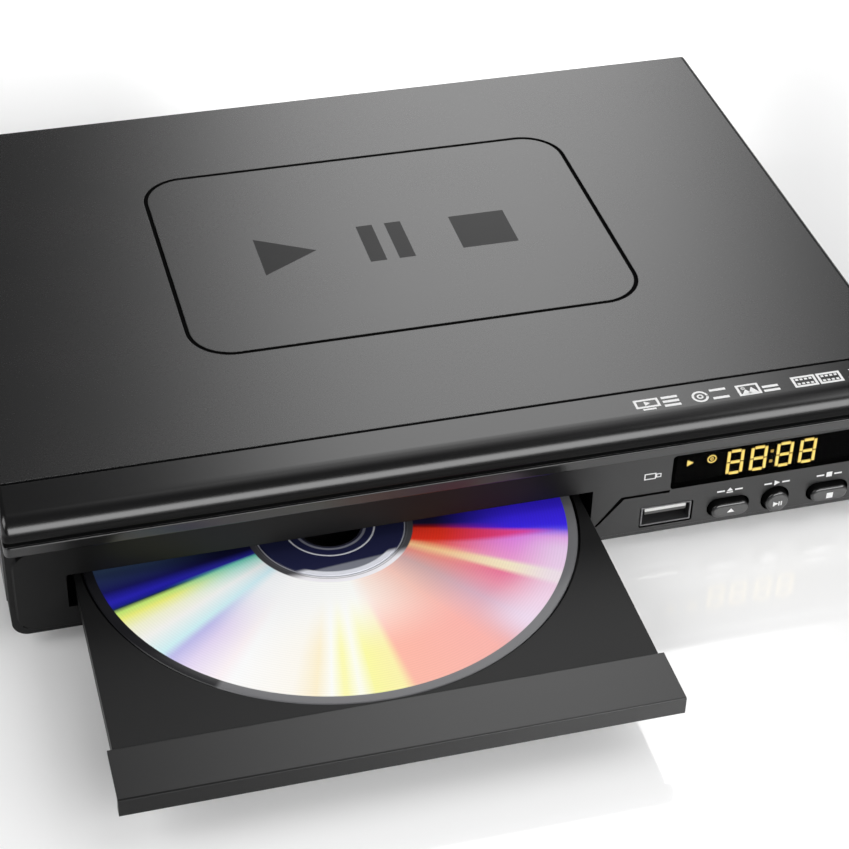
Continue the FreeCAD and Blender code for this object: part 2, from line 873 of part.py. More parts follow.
def make_pan():
    deep = ("cover_front", "rear_face")
    sheets = [
        block(("pan_edge", "pan_right"), ("panel_depth", "rear_face"), ("0", "sheet_gauge")),
        block(("pan_edge", "pan_right"), ("rear_inside", "rear_face"), ("0", "cover_under - sheet_gap")),
        block(("pan_edge", "pan_edge + sheet_gauge"), deep, ("0", "flange_height")),
        block(("pan_right - sheet_gauge", "pan_right"), deep, ("0", "flange_height")),
    ]
    for sides in board_places.values():
        for x, y in board_corners(*sides):
            sheets.append(rod(x, y, "0", "standoff_radius", "board_lift"))
    through = (f"rear_inside - {past}", f"rear_face + {past}")
    hdmi_tall = ("board_top - sheet_gap", "board_top + hdmi_tall + sheet_gap")
    openings = [
        block(about("hdmi_place", "hdmi_width", "sheet_gap"), through, hdmi_tall),
        block(about("inlet_place", "inlet_width", "sheet_gap"), through,
              about("inlet_level", "inlet_tall", "sheet_gap")),
    ]
    for x in jack_rows():
        openings.append(rod(x, through[0], "jack_level", "jack_neck + sheet_gap",
                            f"sheet_gauge + 2 * {past}", "y"))
    floor_vent_front = "power_front + floor_vent_setback"
    floor_vent = (floor_vent_front, f"{floor_vent_front} + floor_vent_length")
    for step in range(int(number("rear_vent_count"))):
        x = f"rear_vent_left + {step} * vent_pitch"
        openings.append(block((x, f"{x} + vent_width"), through, ("vent_rise", "vent_rise + vent_height")))
        x = f"power_left + {step} * vent_pitch"
        openings.append(block((x, f"{x} + vent_width"), floor_vent, (f"-{past}", f"sheet_gauge + {past}")))
    node("base_pan", [cut(fuse(sheets), openings)])


def foot_places():
    for x in ("foot_inset", "case_width - foot_inset"):
        for y in ("foot_inset", "case_depth - foot_inset"):
            yield x, y


def make_feet():
    node("feet", [taper(x, y, "-foot_height", "foot_radius - foot_taper", "foot_radius", "foot_height")
                  for x, y in foot_places()])


def make_screws():
    head = ("screw_head_radius", "screw_head_height")
    heads = []
    for y in ("cover_front + case_screw_inset", "case_depth - case_screw_inset"):
        for x in ("-screw_head_height", "case_width"):
            heads.append(rod(x, y, "flange_height / 2", *head, "x"))
    for x in ("rear_screw_inset", "case_width / 2", "case_width - rear_screw_inset"):
        heads.append(rod(x, "rear_face", "case_height - rear_screw_drop", *head, "y"))
    for sides in board_places.values():
        for x, y in board_corners(*sides):
            heads.append(rod(x, y, "board_top", *head))
    node("screws", heads)


# Front panel: bullnosed brow over a raised plate with the tray mouth, window, socket and button holes

button_places = {
    "open_button": ("open_place", "pill"),
    "play_button": ("play_place", "round"),
    "stop_button": ("stop_place", "pill"),
    "power_button": ("power_place", "round"),
}


def make_front_panel():
    panel = new_body("front_panel")
    pad(panel, "YZ_Plane", "0", "case_width", [[
        ("panel_depth", "0"),
        ("plate_step", "0"),
        ("plate_step", "brow_under"),
        ("-brow_reach", "brow_under"),
        ("-brow_reach", "case_height"),
        ("panel_depth", "case_height"),
    ]])
    dress(panel, "Fillet", "Radius", "brow_round", lambda box: along(box, "x")
          and near(box.YMin, "-brow_reach") and near(box.ZMin, "case_height"))
    dress(panel, "Fillet", "Radius", "cover_bend", lambda box: along(box, "y")
          and near(box.ZMin, "case_height"))
    dress(panel, "Fillet", "Radius", "panel_corner", lambda box: along(box, "y") and near(box.ZMax, "0"))
    pocket(panel, "XZ_Plane", f"-brow_reach - {past}", "strip_line_depth - brow_reach", [[
        (f"-{past}", "strip_line_floor"),
        (f"case_width + {past}", "strip_line_floor"),
        (f"case_width + {past}", "strip_line_top"),
        (f"-{past}", "strip_line_top"),
    ]])
    dress(panel, "Fillet", "Radius", "strip_edge", lambda box: along(box, "x")
          and near(box.YMin, "-brow_reach")
          and (near(box.ZMin, "strip_line_floor") or near(box.ZMin, "brow_under")))
    pad(panel, "XZ_Plane", "0", f"plate_step + {weld}",
        [("plate_inset", "case_width - plate_inset", "plate_inset", "plate_top", "plate_radius")])
    dress(panel, "Chamfer", "Size", "plate_bevel", lambda box: near(box.YMin, "0") and near(box.YMax, "0"))
    pocket(panel, "YZ_Plane", "panel_wall", "case_width - panel_wall", [[
        ("panel_wall", "panel_wall"),
        ("panel_wall", "case_height - panel_wall"),
        (f"panel_depth + {past}", "case_height - panel_wall"),
        (f"panel_depth + {past}", "panel_wall"),
    ]])
    cut_mouth(panel)
    cut_front_holes(panel)


def cut_mouth(panel):
    # the tray's way in: a square hole with a hood that slopes down to the throat, a sill and two cheeks
    pocket(panel, "XZ_Plane", f"-{past}", f"panel_wall + {past}", [[
        ("mouth_left", "mouth_floor"),
        ("mouth_right", "mouth_floor"),
        ("mouth_right", "mouth_top"),
        ("mouth_left", "mouth_top"),
    ]])
    start = f"panel_wall - {weld}"
    hood = [
        ("0", "mouth_top"),
        ("throat_depth", "throat_top"),
        ("throat_depth", "throat_top + lip_wall"),
        (start, "mouth_top + lip_wall"),
        ("0", "mouth_top + lip_wall"),
    ]
    sill = [
        (start, "mouth_floor - lip_wall"),
        ("throat_depth", "mouth_floor - lip_wall"),
        ("throat_depth", "mouth_floor"),
        (start, "mouth_floor"),
    ]
    cheek = [
        (start, "mouth_floor - lip_wall"),
        ("throat_depth", "mouth_floor - lip_wall"),
        ("throat_depth", "throat_top + lip_wall"),
        (start, "mouth_top + lip_wall"),
    ]
    pad(panel, "YZ_Plane", "mouth_left - lip_wall", "mouth_right + lip_wall", [hood])
    pad(panel, "YZ_Plane", "mouth_left - lip_wall", "mouth_right + lip_wall", [sill])
    pad(panel, "YZ_Plane", "mouth_left - lip_wall", "mouth_left", [cheek])
    pad(panel, "YZ_Plane", "mouth_right", "mouth_right + lip_wall", [cheek])


def cut_front_holes(panel):
    holes = [("window_left", "window_right", "window_floor", "window_top", "window_corner")]
    holes.append((*about("port_place", "port_width", "port_gap"),
                  *about("port_height", "port_tall", "port_gap"), "port_corner"))
    for place, shape in button_places.values():
        if shape == "round":
            holes.append((place, "button_height", "round_radius"))
        else:
            holes.append((*about(place, "pill_width"), *about("button_height", "pill_height"),
                          f"pill_height / 2 * {full_round}"))
    pocket(panel, "XZ_Plane", f"-{past}", f"panel_wall + {past}", holes)
    # a line cut in the plate climbs from the mouth to the window
    pocket(panel, "XZ_Plane", "0", "groove_depth", [[
        ("groove_start", "groove_foot"),
        ("groove_start + groove_width", "groove_foot"),
        ("groove_start + groove_run + groove_width", "groove_knee"),
        ("window_left", "groove_knee"),
        ("window_left", "groove_knee + groove_width"),
        ("groove_start + groove_run", "groove_knee + groove_width"),
    ]])


def make_display():
    window = new_body("display_window")
    rim_front = "panel_wall + rim_gap"
    pane = (*inside(("window_left", "window_right"), "window_gap"),
            *inside(("window_floor", "window_top"), "window_gap"), "window_corner - window_gap")
    pad(window, "XZ_Plane", "window_sink", f"{rim_front} + {weld}", [pane])
    rim = ("window_left - rim_width", "window_right + rim_width", "window_floor - rim_width",
           "window_top + rim_width", "window_corner")
    pad(window, "XZ_Plane", rim_front, f"{rim_front} + rim_gauge", [rim])
    # the pane is hollow behind, so that the display stands close to its face
    room = (*inside(("window_left", "window_right"), "(window_gap + window_wall)"),
            *inside(("window_floor", "window_top"), "(window_gap + window_wall)"), "window_corner / 2")
    pocket(window, "XZ_Plane", "pane_back", f"{rim_front} + rim_gauge + {past}", [room])
    node("display_module", [block(("window_left + module_left", "window_right - module_right"),
                                  ("module_front", "front_board_setback"),
                                  inside(("window_floor", "window_top"), "module_inset"))])
    eye_right = "window_right - eye_inset"
    node("ir_receiver", [block((f"{eye_right} - eye_width", eye_right),
                               ("front_board_setback - eye_depth", "front_board_setback"),
                               about("window_middle", "eye_height"))])


def make_digits():
    # four seven-stroke figures with a colon between the pairs
    skin = ("module_front - digit_skin", "module_front")
    levels = ("digit_floor", "digit_middle - digit_stroke / 2", "digit_top - digit_stroke")
    uprights = (("digit_floor + stroke_end", "digit_middle - stroke_middle"),
                ("digit_middle + stroke_middle", "digit_top - stroke_end"))
    strokes = []
    for index in range(4):
        left = f"digit_left + {index} * digit_pitch + {index // 2} * colon_space"
        right = f"{left} + digit_width"
        for level in levels:
            strokes.append(block(inside((left, right), "(digit_stroke + stroke_gap)"), skin,
                                 (level, f"{level} + digit_stroke")))
        for side in (left, f"{right} - digit_stroke"):
            for upright in uprights:
                strokes.append(block((side, f"{side} + digit_stroke"), skin, upright))
    colon = "digit_left + 2 * digit_pitch - (digit_pitch - digit_width) / 2 + colon_space / 2"
    for sign in "-+":
        strokes.append(block(about(colon, "digit_stroke"), skin,
                             about(f"digit_middle {sign} colon_rise", "digit_stroke")))
    node("display_digits", strokes)


def button_outline(shape):
    # outline about the button's own centre, smaller than its hole by the gap
    if shape == "round":
        return ("0", "0", "round_radius - button_gap")
    half = "(pill_width / 2 - button_gap)"
    tall = "(pill_height / 2 - button_gap)"
    return (f"-{half}", half, f"-{tall}", tall, f"{tall} * {full_round}")


def button_stop_outline(shape):
    # a stop plate behind the panel that is wider than the hole but clears the panel's floor
    half = "(round_radius + stop_reach)" if shape == "round" else "(pill_width / 2 + stop_reach)"
    tall = "(button_height - panel_wall - stop_clear)"
    return [(f"-{half}", f"-{tall}"), (half, f"-{tall}"), (half, tall), (f"-{half}", tall)]


def make_buttons():
    for label, (place, shape) in button_places.items():
        cap = new_body(label, place, "0", "button_height")
        pad(cap, "XZ_Plane", "-button_proud", f"stop_front + {weld}", [button_outline(shape)])
        dress(cap, "Fillet", "Radius", "button_round", lambda box: near(box.YMax, "-button_proud"))
        pad(cap, "XZ_Plane", "stop_front", "stop_back", [button_stop_outline(shape)])
        pad(cap, "XZ_Plane", f"stop_back - {weld}", "button_back", [("0", "0", "plunger_radius")])


def make_front_electronics():
    board = block(("front_board_left", "front_board_right"), ("front_board_setback", "front_board_back"),
                  ("front_board_floor", "front_board_floor + front_board_height"))
    node("front_board", [board])
    switch_front = "front_board_setback - switch_height"
    switches = []
    for place, _ in button_places.values():
        body = block(about(place, "switch_size"), (switch_front, "front_board_setback"),
                     about("button_height", "switch_size"))
        plunger = rod(place, "plunger_tip", "button_height", "plunger_radius",
                      f"{switch_front} - plunger_tip + {weld}", "y")
        switches.append(fuse([body, plunger]))
    node("tact_switches", switches)
    wide = about("port_place", "port_width")
    tall = about("port_height", "port_tall")
    shell = block(wide, ("port_sink", "front_board_setback"), tall)
    room = block(inside(wide, "port_skin"), (f"-{past}", f"front_board_setback + {past}"),
                 inside(tall, "port_skin"))
    node("usb_shell", [cut(shell, [room])])
    tongue_floor = "port_height + port_tongue_lift"
    tongue = block(inside(wide, "port_tongue_inset"), ("port_tongue_sink", "front_board_setback"),
                   (tongue_floor, f"{tongue_floor} + port_tongue_gauge"))
    backing = block(inside(wide, "port_skin"),
                    ("front_board_setback - port_backing", "front_board_setback"), inside(tall, "port_skin"))
    node("usb_tongue", [fuse([tongue, backing])])


# Tray, its door and the disc

def make_tray():
    tray = new_body("tray")
    pad(tray, "XY_Plane", "tray_floor", "tray_top",
        [("tray_left", "tray_right", "tray_front", "tray_back", "tray_corner")])
    above = f"tray_top + {past}"
    below = f"tray_floor - {past}"
    seat_back = "flange_back + door_seat"
    pocket(tray, "XY_Plane", "door_top - flange_skin - door_seat", above, [[
        (f"tray_left - {past}", f"tray_front - {past}"),
        (f"tray_right + {past}", f"tray_front - {past}"),
        (f"tray_right + {past}", seat_back),
        (f"tray_left - {past}", seat_back),
    ]])
    pocket(tray, "XY_Plane", "disc_under - disc_seat", above,
           [("loader_center", "disc_place", "disc_radius + disc_room")])
    pocket(tray, "XY_Plane", below, above,
           [("loader_center - slot_half", "loader_center + slot_half", "disc_place - slot_half",
             "tray_back + 2 * slot_half", f"slot_half * {full_round}")])
    pocket(tray, "XY_Plane", below, "channel_top", [[
        ("channel_left", "channel_front"),
        ("rack_edge", "channel_front"),
        ("rack_edge", f"tray_back + {past}"),
        ("channel_left", f"tray_back + {past}"),
    ]])


def make_rack():
    rack = new_body("tray_rack")
    pad(rack, "XY_Plane", "mesh_floor", "channel_top", [[
        ("rack_foot", "rack_start"),
        ("rack_edge", "rack_start"),
        ("rack_edge", "rack_end"),
        ("rack_foot", "rack_end"),
    ]])
    middle = "rack_start + tooth_pitch / 2"
    tooth = pad(rack, "XY_Plane", "mesh_floor", "channel_top", [[
        (f"rack_foot + {weld}", f"{middle} - rack_base * tooth_pitch"),
        (f"rack_foot + {weld}", f"{middle} + rack_base * tooth_pitch"),
        ("rack_line - tooth_tip", f"{middle} + rack_crest * tooth_pitch"),
        ("rack_line - tooth_tip", f"{middle} - rack_crest * tooth_pitch"),
    ]])
    repeat_along(rack, tooth, "Y_Axis", "tooth_pitch", "rack_teeth")


def make_door():
    door = new_body("tray_door")
    pad(door, "YZ_Plane", "door_left", "door_right", [[
        ("door_front", "door_floor"),
        ("door_front", "door_top"),
        ("flange_back", "door_top"),
        ("flange_back", "door_top - flange_skin"),
        ("door_front + door_plate", "door_top - flange_skin"),
        ("door_front + door_plate", "door_floor"),
    ]])
    dress(door, "Fillet", "Radius", "door_round", lambda box: along(box, "x")
          and near(box.YMin, "door_front"))


def make_disc():
    disc = new_body("disc", "loader_center", "disc_place", "disc_under")
    revolve(disc, [
        ("disc_hole", "0"),
        ("disc_radius", "0"),
        ("disc_radius", "disc_gauge"),
        ("disc_hole", "disc_gauge"),
    ])


# Tray drive: motor, belt, drive gear and tray gear with upright axles

def toothed_rim(body, teeth, radius, low, high):
    # straight-flanked teeth on a root disc, thinner than their gaps so that they run free
    pad(body, "XY_Plane", low, high, [("0", "0", f"{radius} - tooth_root")])
    foot = f"{radius} - tooth_root - 2 * {weld}"
    crest = f"{radius} + tooth_tip"
    tooth = pad(body, "XY_Plane", low, high, [[
        (foot, "-tooth_base * tooth_pitch"),
        (crest, "-tooth_crest * tooth_pitch"),
        (crest, "tooth_crest * tooth_pitch"),
        (foot, "tooth_base * tooth_pitch"),
    ]])
    repeat_round(body, tooth, teeth)


def make_tray_gear():
    gear = new_body("tray_gear", "gear_place", "gear_setback")
    toothed_rim(gear, "wheel_teeth", "wheel_radius", "gear_floor", "gear_top")
    toothed_rim(gear, "pinion_teeth", "pinion_radius", f"gear_top - {weld}", "mesh_top")
    pocket(gear, "XY_Plane", f"gear_floor - {past}", "channel_top", [("0", "0", "axle_radius + axle_gap")])


def make_drive_gear():
    gear = new_body("drive_gear", "drive_place", "gear_setback")
    toothed_rim(gear, "drive_teeth", "drive_radius", "gear_floor - face_over", "gear_top + face_over")
    pad(gear, "XY_Plane", "gear_top", "belt_floor", [("0", "0", "drive_radius - tooth_root")])
    pad(gear, "XY_Plane", f"belt_floor - {weld}", "belt_top", [("0", "0", "drive_pulley_radius")])
    brim = ("0", "0", "drive_pulley_radius + pulley_rim")
    pad(gear, "XY_Plane", "belt_floor - pulley_flange", "belt_floor", [brim])
    pad(gear, "XY_Plane", f"belt_top - {weld}", "belt_top + pulley_flange", [brim])
    pocket(gear, "XY_Plane", f"gear_floor - {past}", f"belt_top + pulley_flange + {past}",
           [("0", "0", "axle_radius + axle_gap")])


def make_motor():
    x, y = "drive_motor_place", "drive_motor_setback"
    can = rod(x, y, "drive_floor", "motor_radius", "motor_height")
    hole = rod(x, y, "drive_floor + motor_floor", "motor_shaft + axle_gap", "motor_height")
    node("loading_motor", [cut(can, [hole])])
    pulley = new_body("motor_pulley", x, y)
    top = "belt_top + pulley_flange"
    pad(pulley, "XY_Plane", "drive_floor + motor_floor + shaft_end_gap", top, [("0", "0", "motor_shaft")])
    pad(pulley, "XY_Plane", "drive_floor + motor_height + pulley_gap", top,
        [("0", "0", "motor_pulley_radius")])
    pad(pulley, "XY_Plane", "belt_top", top, [("0", "0", "motor_pulley_radius + pulley_rim")])


def keep_shape(label, shape):
    item = doc.addObject("Part::Feature", label)
    item.Label = label
    item.Shape = shape
    to_frame(item)
    nodes[label] = item


def make_belt():
    # a flat band round both pulleys: two arcs and the straight runs that touch them
    tall = number("belt_width")
    level = number("belt_level") - tall / 2
    start = FreeCAD.Vector(number("drive_place"), number("gear_setback"), level)
    end = FreeCAD.Vector(number("drive_motor_place"), number("drive_motor_setback"), level)
    span = end - start
    heading = math.atan2(span.y, span.x)

    def spot(center, radius, angle):
        return center + FreeCAD.Vector(radius * math.cos(angle), radius * math.sin(angle), 0)

    def loop(room):
        large = number("drive_pulley_radius") + room
        small = number("motor_pulley_radius") + room
        lean = math.acos((large - small) / span.Length)
        up, down = heading + lean, heading - lean
        back = heading + math.pi
        edges = [
            Part.LineSegment(spot(start, large, down), spot(end, small, down)),
            Part.Arc(spot(end, small, down), spot(end, small, heading), spot(end, small, up)),
            Part.LineSegment(spot(end, small, up), spot(start, large, up)),
            Part.Arc(spot(start, large, up), spot(start, large, back), spot(start, large, down)),
        ]
        return Part.Face(Part.Wire([edge.toShape() for edge in edges]))

    gap = number("belt_gap")
    face = loop(gap + number("belt_gauge")).cut(loop(gap))
    keep_shape("drive_belt", face.extrude(FreeCAD.Vector(0, 0, tall)))


# Loader chassis with rails for the tray, axles for the gears and the clamp bridge

def make_loader():
    left_wall = ("rail_outer_left", "rail_inner_left")
    right_wall = ("rail_inner_right", "rail_outer_right")
    whole = ("rail_outer_left", "rail_outer_right")
    upright = ("sheet_gauge", "rail_top")
    ledge = ("ledge_top - ledge_gauge", "ledge_top")
    lid = ("lid_floor", "rail_top")
    plate = ("sheet_gauge", "drive_floor")
    left_run = ("rail_front", "rail_back")
    right_run = ("rail_right_front", "rail_back")
    walls = [
        block(left_wall, ("rail_front", "beam_back"), upright),
        block(right_wall, ("rail_right_front", "beam_back"), upright),
        block((f"rail_inner_left - {weld}", "rail_inner_left + ledge_reach"), left_run, ledge),
        block(("rail_inner_right - ledge_reach", f"rail_inner_right + {weld}"), right_run, ledge),
        block((f"rail_inner_left - {weld}", "rail_inner_left + lid_reach"), left_run, lid),
        block(("rail_inner_right - lid_reach", f"rail_inner_right + {weld}"), right_run, lid),
        block(whole, ("rail_back", "beam_back"), ("sheet_gauge", "ledge_top")),
        block(whole, ("rail_right_front", "rail_right_front + beam_width"),
              ("sheet_gauge", "sheet_gauge + beam_height")),
        block(("gear_place - drive_plate_side", "drive_edge"),
              ("gear_setback - drive_plate_front", "rail_right_front + beam_width"), plate),
        block((f"rail_outer_right - {weld}", "drive_edge"),
              ("rail_right_front", "drive_motor_setback + motor_radius"), plate),
    ]
    for x, low, top in (("gear_place", "gear_floor", "mesh_top"),
                        ("drive_place", "gear_floor - face_over", "belt_level + axle_spare")):
        walls.append(rod(x, "gear_setback", "sheet_gauge", "axle_radius", f"{top} - sheet_gauge"))
        walls.append(rod(x, "gear_setback", "sheet_gauge", "shoulder_radius",
                         f"{low} - shoulder_gap - sheet_gauge"))
    node("loader_frame", [fuse(walls)])
    deep = about("spindle_place", "bridge_width")
    leg = ("rail_top", f"bridge_floor + {weld}")
    bridge = fuse([
        block(whole, deep, ("bridge_floor", "bridge_top")),
        block(left_wall, deep, leg),
        block(right_wall, deep, leg),
    ])
    hole = rod("loader_center", "spindle_place", f"bridge_floor - {past}", "bridge_hole",
               f"bridge_gauge + 2 * {past}")
    node("clamp_bridge", [cut(bridge, [hole])])


def make_puck():
    puck = new_body("clamp_puck", "loader_center", "spindle_place")
    neck = "bridge_hole - puck_gap"
    hollow = "cone_radius + puck_recess"
    revolve(puck, [
        ("0", "puck_floor + puck_recess"),
        (hollow, "puck_floor + puck_recess"),
        (hollow, "puck_floor"),
        ("puck_radius", "puck_floor"),
        ("puck_radius", "puck_shoulder"),
        (neck, "puck_shoulder"),
        (neck, "puck_brim"),
        ("puck_radius", "puck_brim"),
        ("puck_radius", "puck_brim + puck_cap"),
        ("0", "puck_brim + puck_cap"),
    ])


# Lifting deck with the spindle, the pickup sled and its lead screw

guides = (
    ("loader_center - rod_left", "rod_level", "rod_radius"),
    ("loader_center + rod_right", "rod_level", "rod_radius"),
    ("loader_center + screw_place", "screw_level", "screw_radius"),
)


def post_places():
    for x in ("deck_left + post_inset", "deck_right - post_inset"):
        for y in ("deck_front + post_inset", "deck_back - post_inset"):
            yield x, y


def make_deck():
    plate = block(("deck_left", "deck_right"), ("deck_front", "deck_back"), ("deck_floor", "deck_top"))
    above = f"deck_top + {past}"
    holes = [rod(x, y, "0", "post_radius + post_room", above) for x, y in post_places()]
    holes.append(block(("loader_center - beam_slot_left", "loader_center + beam_slot_right"),
                       ("pickup_front + beam_slot_front", "rod_back - beam_slot_back"), ("0", above)))
    ears = []
    for x, level, radius in guides:
        for y in ("rod_front", "rod_back - ear_gauge"):
            ears.append(block((f"{x} - ear_room", f"{x} + ear_room"), (y, f"{y} + ear_gauge"),
                              (f"deck_top - {weld}", f"{level} + ear_room")))
            holes.append(rod(x, f"{y} - {past}", level, f"{radius} + slide_gap",
                             f"ear_gauge + 2 * {past}", "y"))
    node("deck_plate", [cut(fuse([plate] + ears), holes)])
    node("deck_posts", [rod(x, y, "sheet_gauge", "post_radius", "post_top - sheet_gauge")
                        for x, y in post_places()])
    grommets = []
    for x, y in post_places():
        ring = rod(x, y, "deck_top", "grommet_radius", "grommet_height")
        hole = rod(x, y, f"deck_top - {past}", "post_radius + slide_gap", f"grommet_height + 2 * {past}")
        grommets.append(cut(ring, [hole]))
    node("deck_grommets", grommets)
    node("guide_rods", [rod(x, "rod_front", level, radius, "rod_back - rod_front", "y")
                        for x, level, radius in guides[:2]])
    node("spindle_motor", [rod("loader_center", "spindle_place", "deck_top", "spindle_radius",
                               "spindle_height")])
    screw_x, screw_z, screw_r = guides[2]
    node("lead_screw", [rod(screw_x, "rod_front", screw_z, screw_r,
                            "rod_back + screw_end - rod_front", "y")])
    node("sled_motor", [rod(screw_x, "rod_back + screw_end + screw_motor_gap", screw_z, "stepper_radius",
                            "stepper_length", "y")])


def make_turntable():
    table = new_body("turntable", "loader_center", "spindle_place")
    revolve(table, [
        ("0", "table_floor"),
        ("table_radius", "table_floor"),
        ("table_radius", "table_top"),
        ("cone_radius", "table_top"),
        ("cone_radius", "table_top + cone_step"),
        ("cone_crown", "table_top + cone_height"),
        ("0", "table_top + cone_height"),
    ])


def make_pickup():
    deep = ("pickup_front", "pickup_front + pickup_length")
    right = "loader_center + rod_right + rod_radius + sled_wall"
    sled = block(("loader_center - rod_left - rod_radius - sled_wall", right), deep,
                 ("pickup_floor", "pickup_top"))
    nut_front = "pickup_front + nut_setback"
    nut = block((f"{right} - {weld}", "loader_center + screw_place + screw_radius + nut_wall"),
                (nut_front, f"{nut_front} + nut_length"),
                ("pickup_floor", "screw_level + screw_radius + nut_roof"))
    holes = []
    for x, level, radius in guides:
        holes.append(rod(x, f"pickup_front - {past}", level, f"{radius} + slide_gap",
                         f"pickup_length + 2 * {past}", "y"))
    node("pickup_sled", [cut(fuse([sled, nut]), holes)])
    node("objective_lens", [rod("loader_center", "pickup_front + pickup_length / 2", "pickup_top",
                                "lens_radius", "lens_height")])


# Boards, supply parts and the rear sockets

def make_boards():
    for name, (left, right, front, back) in board_places.items():
        node(name + "_board", [block((left, right), (front, back), ("board_lift", "board_top"))])


def make_supply():
    core_sides = ("core_left", "core_right")
    core_tall = ("board_top", "board_top + core_height")
    core = block(core_sides, ("core_front", "core_back"), core_tall)
    wide = inside(core_sides, "core_wall")
    tall = inside(core_tall, "core_wall")
    coil_front = "core_front - winding_overhang"
    winding = block(wide, (coil_front, "core_back + winding_overhang"), tall)
    foot = block(wide, (f"{coil_front} - bobbin_foot", f"{coil_front} + {weld}"), ("board_top", tall[1]))
    node("transformer_core", [cut(core, [winding])])
    node("transformer_winding", [fuse([winding, foot])])
    cans = [rod("core_right + can_gap + can_radius", "core_back - can_gap - can_radius", "board_top",
                "can_radius", "can_height")]
    for step in range(3):
        cans.append(rod(f"power_left + small_can_start + {step} * small_can_pitch",
                        "power_front + part_gap + small_can_radius", "board_top", "small_can_radius",
                        "small_can_height"))
    node("supply_capacitors", cans)
    tall = ("board_top", "board_top + sink_height")
    sink_front = "power_front + sink_setback"
    fins = [block(("sink_left", "fin_start"), (sink_front, f"{sink_front} + sink_length"), tall)]
    for step in range(int(number("fin_count"))):
        front = f"{sink_front} + {step} * fin_pitch"
        fins.append(block((f"fin_start - {weld}", "fin_start + fin_reach"),
                          (front, f"{front} + fin_gauge"), tall))
    node("heat_sink", [fuse(fins)])
    node("fuse", [rod("power_right - fuse_inset", "power_front + fuse_setback", "board_top + fuse_radius",
                      "fuse_radius", "fuse_length", "y")])


def make_main_parts():
    chip_left = "main_left + chip_left"
    chip_front = "main_front + chip_setback"
    node("decoder_chip", [block((chip_left, f"{chip_left} + chip_width"),
                                (chip_front, f"{chip_front} + chip_width"),
                                ("board_top", "board_top + chip_height"))])
    node("main_capacitors", [rod("main_right - tiny_can_inset",
                                 f"main_front + tiny_can_setback + {step} * tiny_can_pitch",
                                 "board_top", "tiny_can_radius", "tiny_can_height") for step in range(3)])
    headers = [block(about("inlet_place", "lead_header_width"),
                     ("lead_header_back - lead_header_depth", "lead_header_back"),
                     ("board_top", "board_top + lead_header_height"))]
    for step in range(2):
        left = f"main_left + header_left + {step} * header_pitch"
        headers.append(block((left, f"{left} + header_width"),
                             ("header_front", "header_front + header_depth"),
                             ("board_top", "ribbon_landing")))
    node("wire_headers", headers)
    cable = new_body("ribbon_cable", "main_left + header_left + (header_width - ribbon_width) / 2")
    end = "header_front + header_depth"
    pad(cable, "YZ_Plane", "0", "ribbon_width", [[
        ("front_board_back", "ribbon_level"),
        ("header_front - ribbon_fall", "ribbon_level"),
        ("header_front - ribbon_gauge", "ribbon_landing"),
        (end, "ribbon_landing"),
        (end, "ribbon_landing + ribbon_gauge"),
        ("header_front", "ribbon_landing + ribbon_gauge"),
        ("header_front - ribbon_fall + ribbon_gauge", "ribbon_level + ribbon_gauge"),
        ("front_board_back", "ribbon_level + ribbon_gauge"),
    ]])


def make_hdmi():
    wide = about("hdmi_place", "hdmi_width")
    tall = ("board_top", "board_top + hdmi_tall")
    shell = block(wide, ("hdmi_front", "rear_face + hdmi_proud"), tall)
    room = block(inside(wide, "socket_skin"), (f"hdmi_front - {past}", f"rear_face + hdmi_proud + {past}"),
                 inside(tall, "socket_skin"))
    node("hdmi_shell", [cut(shell, [room])])
    backing = block(inside(wide, "socket_skin"), ("hdmi_front", "hdmi_front + hdmi_backing"),
                    inside(tall, "socket_skin"))
    tongue_floor = "board_top + hdmi_tall / 2 - hdmi_tongue_drop"
    tongue = block(inside(wide, "hdmi_tongue_inset"),
                   (f"hdmi_front + hdmi_backing - {weld}", "rear_face - hdmi_tongue_sink"),
                   (tongue_floor, f"{tongue_floor} + hdmi_tongue_gauge"))
    node("hdmi_tongue", [fuse([backing, tongue])])


def make_jacks():
    rows = jack_rows()
    body = block((f"{rows[0]} - jack_pitch / 2", f"{rows[2]} + jack_pitch / 2"),
                 ("rear_inside - jack_block_depth", "rear_inside"),
                 ("board_top", "board_top + jack_block_height"))
    start = "rear_inside - jack_root"
    bores = [rod(x, start, "jack_level", "jack_neck", f"jack_root + {past}", "y") for x in rows]
    node("jack_block", [cut(body, bores)])
    length = "jack_root + sheet_gauge + jack_reach"
    barrels = []
    for x in rows:
        tube = fuse([rod(x, start, "jack_level", "jack_neck", length, "y"),
                     rod(x, "rear_face", "jack_level", "jack_radius", "jack_reach", "y")])
        hole = rod(x, f"{start} - {past}", "jack_level", "jack_bore", f"{length} + 2 * {past}", "y")
        barrels.append(cut(tube, [hole]))
    node("jack_barrels", barrels)
    for x, colour in zip(rows, ("yellow", "white", "red")):
        core = rod(x, start, "jack_level", "jack_bore", f"{length} - core_sink", "y")
        hole = rod(x, "rear_face", "jack_level", "core_hole", f"jack_reach + {past}", "y")
        node("jack_core_" + colour, [cut(core, [hole])])


